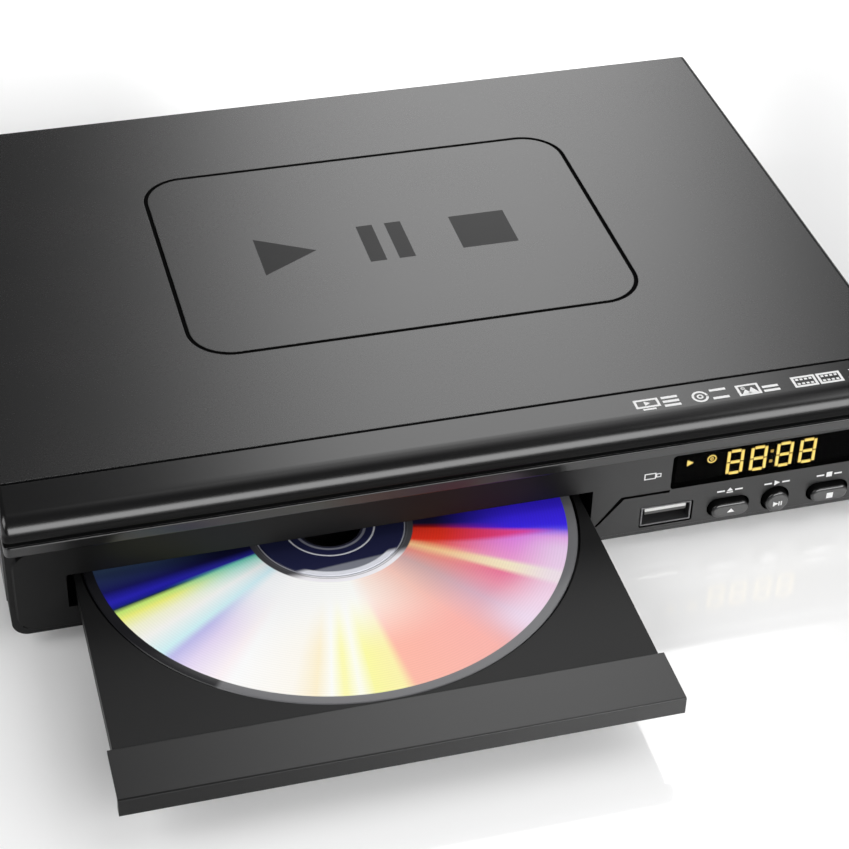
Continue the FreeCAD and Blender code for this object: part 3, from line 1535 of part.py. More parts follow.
def make_inlet():
    wide = about("inlet_place", "inlet_width")
    tall = about("inlet_level", "inlet_tall")
    body = block(wide, ("inlet_back - inlet_depth", "inlet_back"), tall)
    rim = block(about("inlet_place", "inlet_width", "inlet_rim"), ("rear_face", "inlet_back"),
                about("inlet_level", "inlet_tall", "inlet_rim"))
    pin_rows = [f"inlet_place {sign} pin_pitch / 2" for sign in "-+"]
    waist = "2 * (inlet_recess_radius - inlet_waist)"
    room = [block(about("inlet_place", "pin_pitch"), ("inlet_mouth", f"inlet_back + {past}"),
                  about("inlet_level", waist))]
    for x in pin_rows:
        room.append(rod(x, "inlet_mouth", "inlet_level", "inlet_recess_radius",
                        f"inlet_recess_depth + {past}", "y"))
        room.append(rod(x, f"inlet_back - inlet_depth - {past}", "inlet_level", "pin_radius",
                        "inlet_depth", "y"))
    node("mains_inlet", [cut(fuse([body, rim]), room)])
    node("inlet_pins", [rod(x, "pin_start", "inlet_level", "pin_radius",
                            "inlet_back - pin_sink - pin_start", "y") for x in pin_rows])


def rounded_path(points, radius):
    # straight runs joined by tangent arcs
    edges = []
    last = points[0]
    for before, knee, after in zip(points, points[1:], points[2:]):
        into = (knee - before).normalize()
        away = (after - knee).normalize()
        half_turn = into.getAngle(away) / 2
        reach = radius * math.tan(half_turn)
        start = knee - into * reach
        end = knee + away * reach
        inward = (away - into).normalize()
        middle = knee + inward * (radius / math.cos(half_turn) - radius)
        edges.append(Part.LineSegment(last, start).toShape())
        edges.append(Part.Arc(start, middle, end).toShape())
        last = end
    edges.append(Part.LineSegment(last, points[-1]).toShape())
    return Part.Wire(edges)


def make_leads():
    # two insulated leads from the inlet's pins down to the header on the power board
    start = number("pin_start")
    end = number("lead_header_back")
    high = number("inlet_level")
    low = number("board_top + lead_header_height - lead_drop")
    run = number("lead_run")
    leads = []
    for side in (-0.5, 0.5):
        x = number("inlet_place") + side * number("pin_pitch")
        knees = ((start, high), (start - run, high), (end + run, low), (end, low))
        path = rounded_path([FreeCAD.Vector(x, y, z) for y, z in knees], number("lead_bend"))
        ring = Part.Circle(FreeCAD.Vector(x, start, high), FreeCAD.Vector(0, 1, 0), number("lead_radius"))
        leads.append(path.makePipeShell([Part.Wire(ring.toShape())], True, False))
    keep_shape("mains_leads", Part.makeCompound(leads))


for make in (make_cover, make_pan, make_feet, make_screws, make_front_panel, make_display, make_digits,
             make_buttons, make_front_electronics, make_tray, make_rack, make_door, make_disc, make_tray_gear,
             make_drive_gear, make_motor, make_belt, make_loader, make_puck, make_deck, make_turntable,
             make_pickup, make_boards, make_supply, make_main_parts, make_hdmi, make_jacks, make_inlet,
             make_leads):
    make()
doc.recompute()

# Every object has to be sound before any file is written.
for item in doc.Objects:
    if "Invalid" in item.State or "Error" in item.State:
        raise RuntimeError(f"{item.Label} did not compute: {item.State}")
for label, item in nodes.items():
    if item.Shape.isNull() or not item.Shape.isValid() or not item.Shape.Solids:
        raise RuntimeError(f"{label} has no sound solid")

os.makedirs("parts", exist_ok=True)
for label, item in nodes.items():
    item.Shape.exportStep(f"parts/{label}.step")
    box = item.Shape.BoundBox
    print(f"{label}: {len(item.Shape.Solids)} solids, {item.Shape.Volume:.1f} mm3, "
          f"x {box.XMin:.1f}..{box.XMax:.1f}, y {box.YMin:.1f}..{box.YMax:.1f}, "
          f"z {box.ZMin:.1f}..{box.ZMax:.1f}")
print(len(nodes), "sub-parts")
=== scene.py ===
import math
import bmesh
import bpy
import numpy as np
from mathutils import Matrix, Quaternion, Vector


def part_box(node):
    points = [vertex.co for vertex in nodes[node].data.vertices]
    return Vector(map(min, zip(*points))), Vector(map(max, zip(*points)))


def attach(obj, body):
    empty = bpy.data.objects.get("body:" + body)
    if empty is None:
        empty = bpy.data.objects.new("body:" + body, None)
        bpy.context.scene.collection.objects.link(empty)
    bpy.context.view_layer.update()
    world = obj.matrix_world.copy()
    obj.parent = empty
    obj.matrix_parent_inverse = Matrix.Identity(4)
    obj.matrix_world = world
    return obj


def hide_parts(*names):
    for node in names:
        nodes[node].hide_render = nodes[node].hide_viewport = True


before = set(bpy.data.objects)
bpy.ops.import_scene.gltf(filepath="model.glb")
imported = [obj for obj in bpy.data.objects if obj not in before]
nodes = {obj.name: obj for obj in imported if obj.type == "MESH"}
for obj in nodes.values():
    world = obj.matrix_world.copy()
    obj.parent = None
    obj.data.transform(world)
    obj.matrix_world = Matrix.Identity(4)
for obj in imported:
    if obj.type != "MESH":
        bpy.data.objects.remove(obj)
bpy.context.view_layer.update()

mm = 0.001


# camera and light

view = {
    "place": (-0.129571, -0.472742, 0.370089),
    "forward": (0.22231879, 0.7528488, -0.61951032),
    "up": (0.14355841, 0.60320927, 0.78455692),
    "lens": 94.93,
    "sensor": 36.0,
}


def standCamera():
    camera = bpy.data.cameras.new("shotCamera")
    camera.sensor_fit = "HORIZONTAL"
    camera.sensor_width = view["sensor"]
    camera.lens = view["lens"]
    camera.clip_start = 0.01
    holder = bpy.data.objects.new("shotCamera", camera)
    forward, up = Vector(view["forward"]), Vector(view["up"])
    turn = Matrix((forward.cross(up), up, -forward)).transposed().to_4x4()
    holder.matrix_world = Matrix.Translation(view["place"]) @ turn
    bpy.context.scene.collection.objects.link(holder)
    bpy.context.scene.camera = holder


# shader sums

class Wire:
    # a node socket that can be added, multiplied and compared: each operator adds one Math node
    def __init__(self, tree, socket=None):
        self.tree = tree
        self.socket = socket

    # any node: its type, its settings, the values or links of its sockets, and the output that is wanted
    def add(self, kind, settings=None, sockets=None, out=0):
        made = self.tree.nodes.new("ShaderNode" + kind)
        for name, value in (settings or {}).items():
            if name == "stops":
                fillRamp(made.color_ramp, value)
            else:
                setattr(made, name, value)
        for name, value in (sockets or {}).items():
            if isinstance(value, Wire):
                self.tree.links.new(value.socket, made.inputs[name])
            else:
                made.inputs[name].default_value = value
        return Wire(self.tree, made.outputs[out] if len(made.outputs) else None)

    def sum(self, operation, *values):
        return self.add("Math", {"operation": operation}, dict(enumerate(values)))

    def __add__(self, other):
        return self.sum("ADD", self, other)

    def __sub__(self, other):
        return self.sum("SUBTRACT", self, other)

    def __rsub__(self, other):
        return self.sum("SUBTRACT", other, self)

    def __mul__(self, other):
        return self.sum("MULTIPLY", self, other)

    def __truediv__(self, other):
        return self.sum("DIVIDE", self, other)

    def __lt__(self, other):
        return self.sum("LESS_THAN", self, other)

    def __gt__(self, other):
        return self.sum("GREATER_THAN", self, other)

    __radd__ = __add__
    __rmul__ = __mul__

    # 0 below low, 1 above high, smooth between
    def rise(self, low, high):
        return self.add("MapRange", {"interpolation_type": "SMOOTHSTEP"},
                        {"Value": self, "From Min": low, "From Max": high})

    # 1 between low and high with soft shoulders
    def band(self, low, high, soft):
        return self.rise(low - soft, low + soft) * (1 - self.rise(high - soft, high + soft))

    # from one colour to another as this value goes from 0 to 1
    def blend(self, first, second):
        return self.add("Mix", {"data_type": "RGBA"}, {0: self, 6: first, 7: second}, 2)


def fillRamp(ramp, stops):
    while len(ramp.elements) < len(stops):
        ramp.elements.new(1.0)
    for element, (place, color) in zip(ramp.elements, stops):
        element.position = place
        element.color = (*color, 1)


def blank(name):
    material = bpy.data.materials.new(name)
    material.use_nodes = True
    material.node_tree.nodes.clear()
    return material, Wire(material.node_tree)


def close(wire, sockets):
    shade = wire.add("BsdfPrincipled", None, sockets)
    wire.add("OutputMaterial", None, {"Surface": shade})


def grey(level):
    return (level, level, level, 1)


# softboxes: middle, width, height, the brightness of the cloth, how it fades to its sides and top,
# and its lean
lamps = {
    "frontBox": {"place": (0.4, -1.08, 0.7), "wide": 1.7, "tall": 0.62, "glow": 4.2, "sides": 0.15,
                 "fall": (0.8, 1.05)},
    "backBox": {"place": (0.5, 1.22, 1.36), "wide": 0.82, "tall": 2.1, "glow": 2.15, "sides": 0.3,
                "fall": (0.3, 1.25), "lean": 0.22},
    "skyBox": {"place": (0.39, 0.0, 1.7), "wide": 0.9, "tall": 1.0, "glow": 0.7, "sides": 0.3,
               "fall": (0.0, 1.0), "lean": 1.57},
    "rightBox": {"place": (1.35, -0.35, 1.5), "wide": 1.5, "tall": 1.5, "glow": 2.25, "sides": 0.2,
                 "fall": (0.7, 1.0)},
    "leftBox": {"place": (-1.45, -0.25, 1.4), "wide": 1.5, "tall": 1.5, "glow": 2.5, "sides": 0.2,
                "fall": (0.7, 1.0)},
}
aimPoint = Vector((0.0, -0.03, 0.02))
roomGlow = 0.07
wattsPerGlow = 4      # for each square metre of cloth


# the share across and up the cloth comes from the lamp's own surface
def fadeLamp(light, box):
    light.use_nodes = True
    wire = Wire(light.node_tree)
    share = wire.add("NewGeometry", None, None, "Parametric")
    across = wire.add("SeparateXYZ", None, {0: share})
    up = Wire(wire.tree, across.socket.node.outputs[1])
    fade = across.rise(0, box["sides"]) * (1 - across.rise(1 - box["sides"], 1)) * (1 - up.rise(*box["fall"]))
    cloth = next(node for node in light.node_tree.nodes if node.type == "EMISSION")
    wire.tree.links.new(fade.socket, cloth.inputs["Color"])


def hangLamps():
    for name, box in lamps.items():
        light = bpy.data.lights.new(name, "AREA")
        light.shape = "RECTANGLE"
        light.size = box["wide"]
        light.size_y = box["tall"]
        light.energy = wattsPerGlow * box["wide"] * box["tall"] * box["glow"]
        fadeLamp(light, box)
        holder = bpy.data.objects.new(name, light)
        holder.location = box["place"]
        aim = (aimPoint - Vector(box["place"])).to_track_quat("-Z", "Y")
        lean = Quaternion((0, 0, 1), box.get("lean", 0.0))
        holder.rotation_euler = (aim @ lean).to_euler()
        holder.visible_camera = False
        bpy.context.scene.collection.objects.link(holder)
    world = bpy.data.worlds.new("room")
    world.use_nodes = True
    world.node_tree.nodes["Background"].inputs["Color"].default_value = (roomGlow, roomGlow, roomGlow, 1)
    bpy.context.scene.world = world
    bpy.context.scene.view_settings.view_transform = "Standard"


standCamera()
hangLamps()
print("camera and lamps stand")


# one of the object coordinates
def along(where, axis):
    part = where.add("SeparateXYZ", None, {0: where}).socket.node
    return Wire(where.tree, part.outputs["xyz".index(axis)])


# 1 inside a box of object coordinates in mm, 0 outside
def zone(where, box):
    inside = 1.0
    for axis, (low, high) in box.items():
        value = along(where, axis)
        inside = (value > low * mm) * (value < high * mm) * inside
    return inside


# 1 on a flat face, less towards a corner, with the normal that looks rounded there
def flatness(wire, radius):
    soft = wire.add("Bevel", {"samples": 4}, {"Radius": radius * mm})
    facing = wire.add("NewGeometry", None, None, "Normal")
    return wire.add("VectorMath", {"operation": "DOT_PRODUCT"}, {0: soft, 1: facing}, "Value"), soft


# relief from a pattern, with its strength and its depth in mm
def ridge(wire, pattern, look):
    return wire.add("Bump", None, {"Strength": look["relief"], "Distance": look["depth"] * mm,
                                   "Height": pattern})


# finishes: color, spread of tone, grain in mm, gloss and relief; edge rounds the look of sharp corners,
# the shade boxes are painted black as shade in recesses and grooves, and the shade fades paint a dull black
# shade from one end of an axis to the other

shared = {
    "patch": 30.0, "fine": 0.6, "tone": (0.3, 0.7), "depth": 0.2,
    "wornTurn": (0.02, 0.25), "wornCloud": (0.35, 0.65), "wornGain": 3, "wornLift": 0.05,
    # the dull black of the painted shade
    "black": {"Base Color": grey(0.002), "Roughness": 0.9, "Specular IOR Level": 0.05},
}


def finish(name, look):
    material, wire = blank(name)
    where = wire.add("TexCoord", None, None, "Object")
    drawn = wire.add("Mapping", None, {"Vector": where, "Scale": look.get("stretch", (1, 1, 1))})
    fine = wire.add("TexNoise", None, {"Vector": drawn, "Scale": 1 / (look["grain"] * mm), "Detail": 3.0})
    broad = wire.add("TexNoise", None, {"Vector": where, "Scale": 1 / (shared["patch"] * mm), "Detail": 4.0})
    tone = fine * shared["fine"] + broad * (1 - shared["fine"])
    spread = look.get("spread", 0.15)
    low = [c * (1 - spread) for c in look["color"]] + [1]
    high = [min(1, c * (1 + spread)) for c in look["color"]] + [1]
    color = tone.rise(*shared["tone"]).blend(low, high)
    rough = (tone - 0.5) * look.get("roughSpread", 0.1) + look["rough"]
    if "dull" in look:
        rough = rough + zone(where, look["dull"]) * look["dullMore"]
    bump = {"Strength": look["relief"], "Distance": look["grain"] * mm * shared["depth"], "Height": fine}
    if "edge" in look:
        flat, bump["Normal"] = flatness(wire, look["edge"])
        worn = (1 - flat).rise(*shared["wornTurn"]) * broad.rise(*shared["wornCloud"]) * look.get("wear", 0.0)
        bare = [min(1, c * shared["wornGain"] + shared["wornLift"]) for c in look["color"]] + [1]
        color = worn.blend(color, bare)
    sockets = {
        "Base Color": color,
        "Roughness": rough,
        "Metallic": look.get("metal", 0.0),
        "Specular IOR Level": look.get("gloss", 0.5),
        "Normal": wire.add("Bump", None, bump),
    }
    if "coat" in look:
        sockets["Coat Weight"], sockets["Coat Roughness"] = look["coat"]
    if "clear" in look:
        sockets["Alpha"] = look["clear"]
    shade = wire.add("BsdfPrincipled", None, sockets)
    # painted shade: a dull black mixed in over the shade boxes and along the shade fades, where shade and
    # dark reflections fall
    if "shadeBoxes" in look or "shadeFades" in look:
        depth = sum(zone(where, box) for box in look.get("shadeBoxes", []))
        for axis, (start, end), amount, box in look.get("shadeFades", []):
            fade = 1 - along(where, axis).rise(start * mm, end * mm)
            depth = depth + fade * zone(where, box) * amount
        black = wire.add("BsdfPrincipled", None, shared["black"])
        shade = wire.add("MixShader", None, {0: depth, 1: shade, 2: black})
    wire.add("OutputMaterial", None, {"Surface": shade})
    return material


looks = {
    # painted shade: the frame line groove on the top is black
    "coverPaint": {"color": (0.006, 0.006, 0.0062), "grain": 0.35, "rough": 0.27, "roughSpread": 0.05,
                   "gloss": 0.85, "relief": 0.02, "edge": 0.2,
                   "shadeBoxes": [{"x": (-66, 66), "y": (-50, 56), "z": (39.3, 39.93)}]},
    "panPaint": {"color": (0.009, 0.009, 0.0094), "grain": 0.35, "rough": 0.42, "gloss": 0.5,
                 "relief": 0.15, "edge": 0.2},
    # painted shade on the front panel: the plate is darker left of about 14 to 36 mm across, the lower band
    # of the brow is dark, and the recesses behind the plate and the groove under the brow are black
    "panelPlastic": {"color": (0.005, 0.005, 0.0052), "grain": 0.35, "rough": 0.2, "roughSpread": 0.04,
                     "gloss": 0.68, "relief": 0.015, "edge": 0.2, "wear": 0.05,
                     "dull": {"y": (-84, 0), "z": (0, 30.2)}, "dullMore": 0.22,
                     "shadeFades": [("x", (14, 36), 0.66, {"y": (-84, 0), "z": (0, 30.2)}),
                              ("z", (36.1, 36.9), 0.72, {"y": (-86, -83.6), "z": (34.66, 40)})],
                     "shadeBoxes": [{"x": (-110.5, 110.5), "y": (-83.42, 0), "z": (6.2, 28.7)},
                               {"y": (-85.25, 0), "z": (33.24, 34.66)}]},
    # painted shade: the front of the tray door grows darker towards its left end
    "doorPlastic": {"color": (0.006, 0.006, 0.0062), "grain": 0.35, "rough": 0.33, "roughSpread": 0.06,
                    "gloss": 0.7, "relief": 0.03, "edge": 0.25, "wear": 0.05,
                    "shadeFades": [("x", (-100, 30), 0.62, {"y": (-160, -151)})]},
    "trayPlastic": {"color": (0.005, 0.005, 0.0052), "grain": 0.35, "rough": 0.46, "roughSpread": 0.1,
                    "gloss": 0.4, "relief": 0.15, "edge": 0.2, "wear": 0.05},
    "chassisPlastic": {"color": (0.03, 0.03, 0.032), "grain": 0.4, "rough": 0.55, "relief": 0.3},
    # painted shade: the keys are dark behind the edge of their faces
    "buttonPlastic": {"color": (0.008, 0.008, 0.0083), "grain": 0.3, "rough": 0.24, "roughSpread": 0.05,
                      "gloss": 1.0, "relief": 0.02, "shadeFades": [("y", (-84.7, -85.3), 0.9, {"z": (0, 30)})]},
    "moduleBlack": {"color": (0.0015, 0.0015, 0.0015), "grain": 0.4, "rough": 0.6, "gloss": 0.03,
                    "relief": 0.2},
    "chipBlack": {"color": (0.008, 0.008, 0.008), "grain": 0.4, "rough": 0.6, "relief": 0.2},
    "switchPlastic": {"color": (0.04, 0.04, 0.04), "grain": 0.3, "rough": 0.5, "relief": 0.2},
    "tonguePlastic": {"color": (0.02, 0.02, 0.02), "grain": 0.3, "rough": 0.45, "relief": 0.2},
    # painted shade: the white tongue turns dark below a level near 11 mm, in the socket
    "tongueWhite": {"color": (0.78, 0.78, 0.76), "grain": 0.3, "rough": 0.4, "relief": 0.1, "spread": 0.06,
                    "shadeFades": [("z", (10.85, 11.05), 0.85, {"y": (-84, -70)})]},
    "headerPlastic": {"color": (0.75, 0.72, 0.62), "grain": 0.4, "rough": 0.45, "relief": 0.15},
    "jackBlack": {"color": (0.013, 0.013, 0.013), "grain": 0.3, "rough": 0.42, "relief": 0.2, "edge": 0.15},
    "jackYellow": {"color": (0.85, 0.58, 0.03), "grain": 0.3, "rough": 0.35, "relief": 0.1},
    "jackWhite": {"color": (0.8, 0.79, 0.75), "grain": 0.3, "rough": 0.35, "relief": 0.1},
    "jackRed": {"color": (0.6, 0.02, 0.02), "grain": 0.3, "rough": 0.35, "relief": 0.1},
    "gearNylon": {"color": (0.78, 0.76, 0.68), "grain": 0.5, "rough": 0.45, "relief": 0.1},
    "beltRubber": {"color": (0.012, 0.012, 0.012), "grain": 0.2, "rough": 0.65, "relief": 0.4},
    "footRubber": {"color": (0.014, 0.014, 0.014), "grain": 0.3, "rough": 0.7, "relief": 0.45, "spread": 0.3},
    "leadBlue": {"color": (0.03, 0.06, 0.3), "grain": 0.4, "rough": 0.4, "relief": 0.1},
    "ferrite": {"color": (0.03, 0.03, 0.032), "grain": 0.25, "rough": 0.6, "relief": 0.5, "spread": 0.4},
    "screwSteel": {"color": (0.3, 0.3, 0.31), "grain": 0.3, "rough": 0.3, "metal": 1.0, "relief": 0.1},
    "socketSteel": {"color": (0.78, 0.78, 0.78), "grain": 0.2, "rough": 0.26, "metal": 1.0, "relief": 0.08,
                    "stretch": (0.1, 1, 1), "edge": 0.08},
    "portSteel": {"color": (0.17, 0.17, 0.175), "grain": 0.2, "rough": 0.42, "metal": 0.9, "relief": 0.08,
                  "stretch": (0.1, 1, 1), "edge": 0.08},
    "deckSteel": {"color": (0.6, 0.6, 0.6), "grain": 0.5, "rough": 0.38, "metal": 1.0, "relief": 0.1,
                  "stretch": (1, 0.1, 1)},
    "rodChrome": {"color": (0.8, 0.8, 0.82), "grain": 0.3, "rough": 0.12, "metal": 1.0, "relief": 0.03},
    "motorSteel": {"color": (0.5, 0.5, 0.5), "grain": 0.3, "rough": 0.32, "metal": 1.0, "relief": 0.1},
    "canAluminium": {"color": (0.55, 0.57, 0.62), "grain": 0.4, "rough": 0.35, "metal": 0.7, "relief": 0.05},
    "sinkAluminium": {"color": (0.68, 0.68, 0.7), "grain": 0.3, "rough": 0.4, "metal": 1.0, "relief": 0.15,
                      "stretch": (1, 1, 0.1)},
    "jackNickel": {"color": (0.76, 0.75, 0.72), "grain": 0.25, "rough": 0.2, "metal": 1.0, "relief": 0.05},
    "fuseGlass": {"color": (0.75, 0.78, 0.78), "grain": 1.0, "rough": 0.08, "relief": 0.02, "clear": 0.5},
    "lensGlass": {"color": (0.12, 0.1, 0.25), "grain": 1.0, "rough": 0.05, "relief": 0.02,
                  "coat": (1.0, 0.1)},
    "windowAcrylic": {"color": (0.001, 0.001, 0.001), "grain": 3.0, "rough": 0.06, "roughSpread": 0.03,
                      "gloss": 0.02, "relief": 0.01, "clear": 0.3},
    "signWhite": {"color": (0.85, 0.85, 0.85), "grain": 0.2, "rough": 0.5, "relief": 0.1, "spread": 0.06},
    "signDark": {"color": (0.0045, 0.0045, 0.0048), "grain": 0.3, "rough": 0.34, "gloss": 0.2,
                 "relief": 0.05},
}
paints = {name: finish(name, look) for name, look in looks.items()}


# solder-masked laminate: straight copper tracks and tinned pads shade the green
boardLook = {
    "bricks": {"offset": 0.37, "squash": 0.6}, "tracks": 260.0, "trackWide": 0.035, "trackSoft": 0.2,
    "pads": 300.0, "padSize": 0.22, "clouds": 120.0, "rough": (0.35, 0.15), "relief": 0.3, "depth": 0.05,
    "mask": ((0.012, 0.1, 0.035, 1), (0.02, 0.16, 0.055, 1)), "copper": (0.05, 0.25, 0.1, 1),
    "tin": grey(0.6),
}


def boardFinish(name):
    look = boardLook
    material, wire = blank(name)
    where = wire.add("TexCoord", None, None, "Object")
    tracks = wire.add("TexBrick", look["bricks"],
                      {"Vector": where, "Scale": look["tracks"], "Mortar Size": look["trackWide"],
                       "Mortar Smooth": look["trackSoft"]}, 1)
    pads = wire.add("TexVoronoi", None, {"Vector": where, "Scale": look["pads"]}) < look["padSize"]
    cloud = wire.add("TexNoise", None, {"Vector": where, "Scale": look["clouds"], "Detail": 4.0})
    green = tracks.blend(cloud.blend(*look["mask"]), look["copper"])
    start, spread = look["rough"]
    close(wire, {"Base Color": pads.blend(green, look["tin"]), "Roughness": start + cloud * spread,
                 "Metallic": pads, "Normal": ridge(wire, tracks, look)})
    return material


# yellow winding tape, whose overlapped turns show as fine steps, and flat cable, one ridge for each wire
waveLooks = {
    "windingTape": {"along": "Z", "waves": 160.0, "bend": 1.0, "rough": (0.3, 0.1),
                    "relief": 0.3, "depth": 0.1,
                    "colors": ((0.55, 0.36, 0.02, 1), (0.8, 0.6, 0.06, 1))},
    "ribbonGrey": {"along": "X", "waves": 250.0, "bend": 0.0, "rough": (0.4, 0.1),
                   "relief": 0.6, "depth": 0.2,
                   "colors": ((0.25, 0.25, 0.26, 1), (0.5, 0.5, 0.51, 1))},
}


def waveFinish(name, look):
    material, wire = blank(name)
    where = wire.add("TexCoord", None, None, "Object")
    waves = wire.add("TexWave", {"bands_direction": look["along"]},
                     {"Vector": where, "Scale": look["waves"], "Distortion": look["bend"]}, 1)
    start, spread = look["rough"]
    close(wire, {"Base Color": waves.blend(*look["colors"]), "Roughness": start + waves * spread,
                 "Normal": ridge(wire, waves, look)})
    return material


# lit figures: warm yellow cores with amber rims, and a dim colon inside its own box in mm
glowLook = {
    "grain": 900.0, "clouds": (0.25, 0.75), "lit": ((1.0, 0.7, 0.16, 1), (1.0, 0.82, 0.26, 1)),
    "rim": (0.2, 0.1, 0.014, 1), "rimWide": 0.3, "core": (0.82, 0.985),
    "colon": {"x": (74.8, 76.3)}, "colonDim": 0.7,
    "unlit": (0.3, 0.2, 0.04, 1), "rough": (0.5, 0.1), "strength": 2.1,
}


def glowFinish(name):
    look = glowLook
    material, wire = blank(name)
    where = wire.add("TexCoord", None, None, "Object")
    grain = wire.add("TexNoise", None, {"Vector": where, "Scale": look["grain"], "Detail": 2.0})
    flat = flatness(wire, look["rimWide"])[0]
    lit = flat.rise(*look["core"]).blend(look["rim"], grain.rise(*look["clouds"]).blend(*look["lit"]))
    lit = (zone(where, look["colon"]) * look["colonDim"]).blend(lit, look["rim"])
    start, spread = look["rough"]
    close(wire, {"Base Color": look["unlit"], "Roughness": start + grain * spread,
                 "Emission Color": lit, "Emission Strength": look["strength"]})
    return material


paints["boardLaminate"] = boardFinish("boardLaminate")
paints["digitAmber"] = glowFinish("digitAmber")
paints.update((name, waveFinish(name, look)) for name, look in waveLooks.items())

nodePaints = {
    "coverPaint": ["top_cover"],
    "panPaint": ["base_pan"],
    "footRubber": ["feet"],
    "screwSteel": ["screws"],
    "panelPlastic": ["front_panel"],
    "windowAcrylic": ["display_window"],
    "moduleBlack": ["display_module", "ir_receiver"],
    "chipBlack": ["decoder_chip"],
    "digitAmber": ["display_digits"],
    "boardLaminate": ["front_board", "power_board", "main_board"],
    "switchPlastic": ["tact_switches"],
    "buttonPlastic": ["open_button", "play_button", "stop_button", "power_button"],
    "socketSteel": ["hdmi_shell"],
    "portSteel": ["usb_shell"],
    "tonguePlastic": ["hdmi_tongue"],
    "tongueWhite": ["usb_tongue"],
    "trayPlastic": ["tray", "tray_rack"],
    "doorPlastic": ["tray_door"],
    "gearNylon": ["disc", "tray_gear", "drive_gear", "motor_pulley", "turntable", "clamp_puck"],
    "beltRubber": ["drive_belt", "deck_grommets"],
    "motorSteel": ["loading_motor", "spindle_motor", "sled_motor", "lead_screw"],
    "chassisPlastic": ["loader_frame", "pickup_sled"],
    "deckSteel": ["clamp_bridge", "deck_plate", "deck_posts"],
    "rodChrome": ["guide_rods", "inlet_pins"],
    "lensGlass": ["objective_lens"],
    "ferrite": ["transformer_core"],
    "windingTape": ["transformer_winding"],
    "canAluminium": ["supply_capacitors", "main_capacitors"],
    "sinkAluminium": ["heat_sink"],
    "fuseGlass": ["fuse"],
    "headerPlastic": ["wire_headers"],
    "ribbonGrey": ["ribbon_cable"],
    "leadBlue": ["mains_leads"],
    "jackBlack": ["jack_block", "mains_inlet"],
    "jackNickel": ["jack_barrels"],
    "jackYellow": ["jack_core_yellow"],
    "jackWhite": ["jack_core_white"],
    "jackRed": ["jack_core_red"],
}


def coat(piece, paint):
    if not piece.material_slots:
        piece.data.materials.append(None)
    for place in piece.material_slots:
        place.material = paints[paint]


for paint, names in nodePaints.items():
    for name in names:
        coat(nodes[name], paint)
print("finishes:", len(paints))


# surfaces

# quads between the neighbouring points of a grid, wrapped where it closes on itself
def gridFaces(rows, cols, closeRows=False, closeCols=False):
    i, j = np.meshgrid(np.arange(rows - (not closeRows)), np.arange(cols - (not closeCols)), indexing="ij")
    below, beside = (i + 1) % rows, (j + 1) % cols
    corners = [i * cols + j, below * cols + j, below * cols + beside, i * cols + beside]
    return np.stack(corners, -1).reshape(-1, 4)


meshLook = {"join": 1e-7, "sliver": 1e-8, "sharp": 35}      # two lengths in metres, an angle in degrees


# several grids become one mesh: doubles merged, faces turned outwards, sharp edges kept
def makePiece(name, body, paint, slot, grids, **closing):
    points, faces, count = [], [], 0
    for grid in grids:
        points.append(grid.reshape(-1, 3))
        faces.append(gridFaces(*grid.shape[:2], **closing) + count)
        count += grid.shape[0] * grid.shape[1]
    mesh = bpy.data.meshes.new(name)
    mesh.from_pydata((np.concatenate(points) * mm).tolist(), [], np.concatenate(faces).tolist())
    shape = bmesh.new()
    shape.from_mesh(mesh)
    bmesh.ops.remove_doubles(shape, verts=shape.verts, dist=meshLook["join"])
    bmesh.ops.dissolve_degenerate(shape, edges=shape.edges, dist=meshLook["sliver"])
    bmesh.ops.recalc_face_normals(shape, faces=shape.faces)
    shape.to_mesh(mesh)
    shape.free()
    mesh.polygons.foreach_set("use_smooth", np.ones(len(mesh.polygons), bool))
    mesh.set_sharp_from_angle(angle=math.radians(meshLook["sharp"]))
    piece = bpy.data.objects.new(name, mesh)
    bpy.context.scene.collection.objects.link(piece)
    piece.data.materials.append(paints[paint])
    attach(piece, body)
    return piece


# a profile of (radius, height) pairs turned about an axis:
# point = middle + radius * spoke + height * axis
def turned(profile, middle, axis=(0, 0, 1), steps=48):
    axis = np.array(axis, float)
    side = np.cross(axis, (0, 1, 0) if abs(axis[1]) < 0.9 else (1, 0, 0))
    side /= np.linalg.norm(side)
    other = np.cross(axis, side)
    angle = np.linspace(0, 2 * np.pi, steps, endpoint=False)
    spoke = np.cos(angle)[:, None] * side + np.sin(angle)[:, None] * other
    profile = np.array(profile, float)
    return np.array(middle, float) + spoke[None] * profile[:, :1, None] + axis * profile[:, 1:, None]


# floor: a wide disc that sweeps up at its far edge, a profile in metres turned about the upright

floorLook = {
    "profile": [(0, 0), (0.5, 0), (1, 0), (2, 0), (4, 0), (8, 0), (8.6, 0.06), (9.1, 0.22), (9.5, 0.5),
                (9.8, 0.9), (10, 1.4), (10, 2.1)],
    "steps": 96, "color": 0.93, "clouds": 6.0, "cloudShade": 0.99, "rough": 0.1, "coatRough": 0.06,
    "lift": 0.8, "near": 0.16, "mirrored": 0.35,
    "foot": (0.12, 0.125), "middle": (0.0, -0.03), "fade": (0.0, 0.22),
}


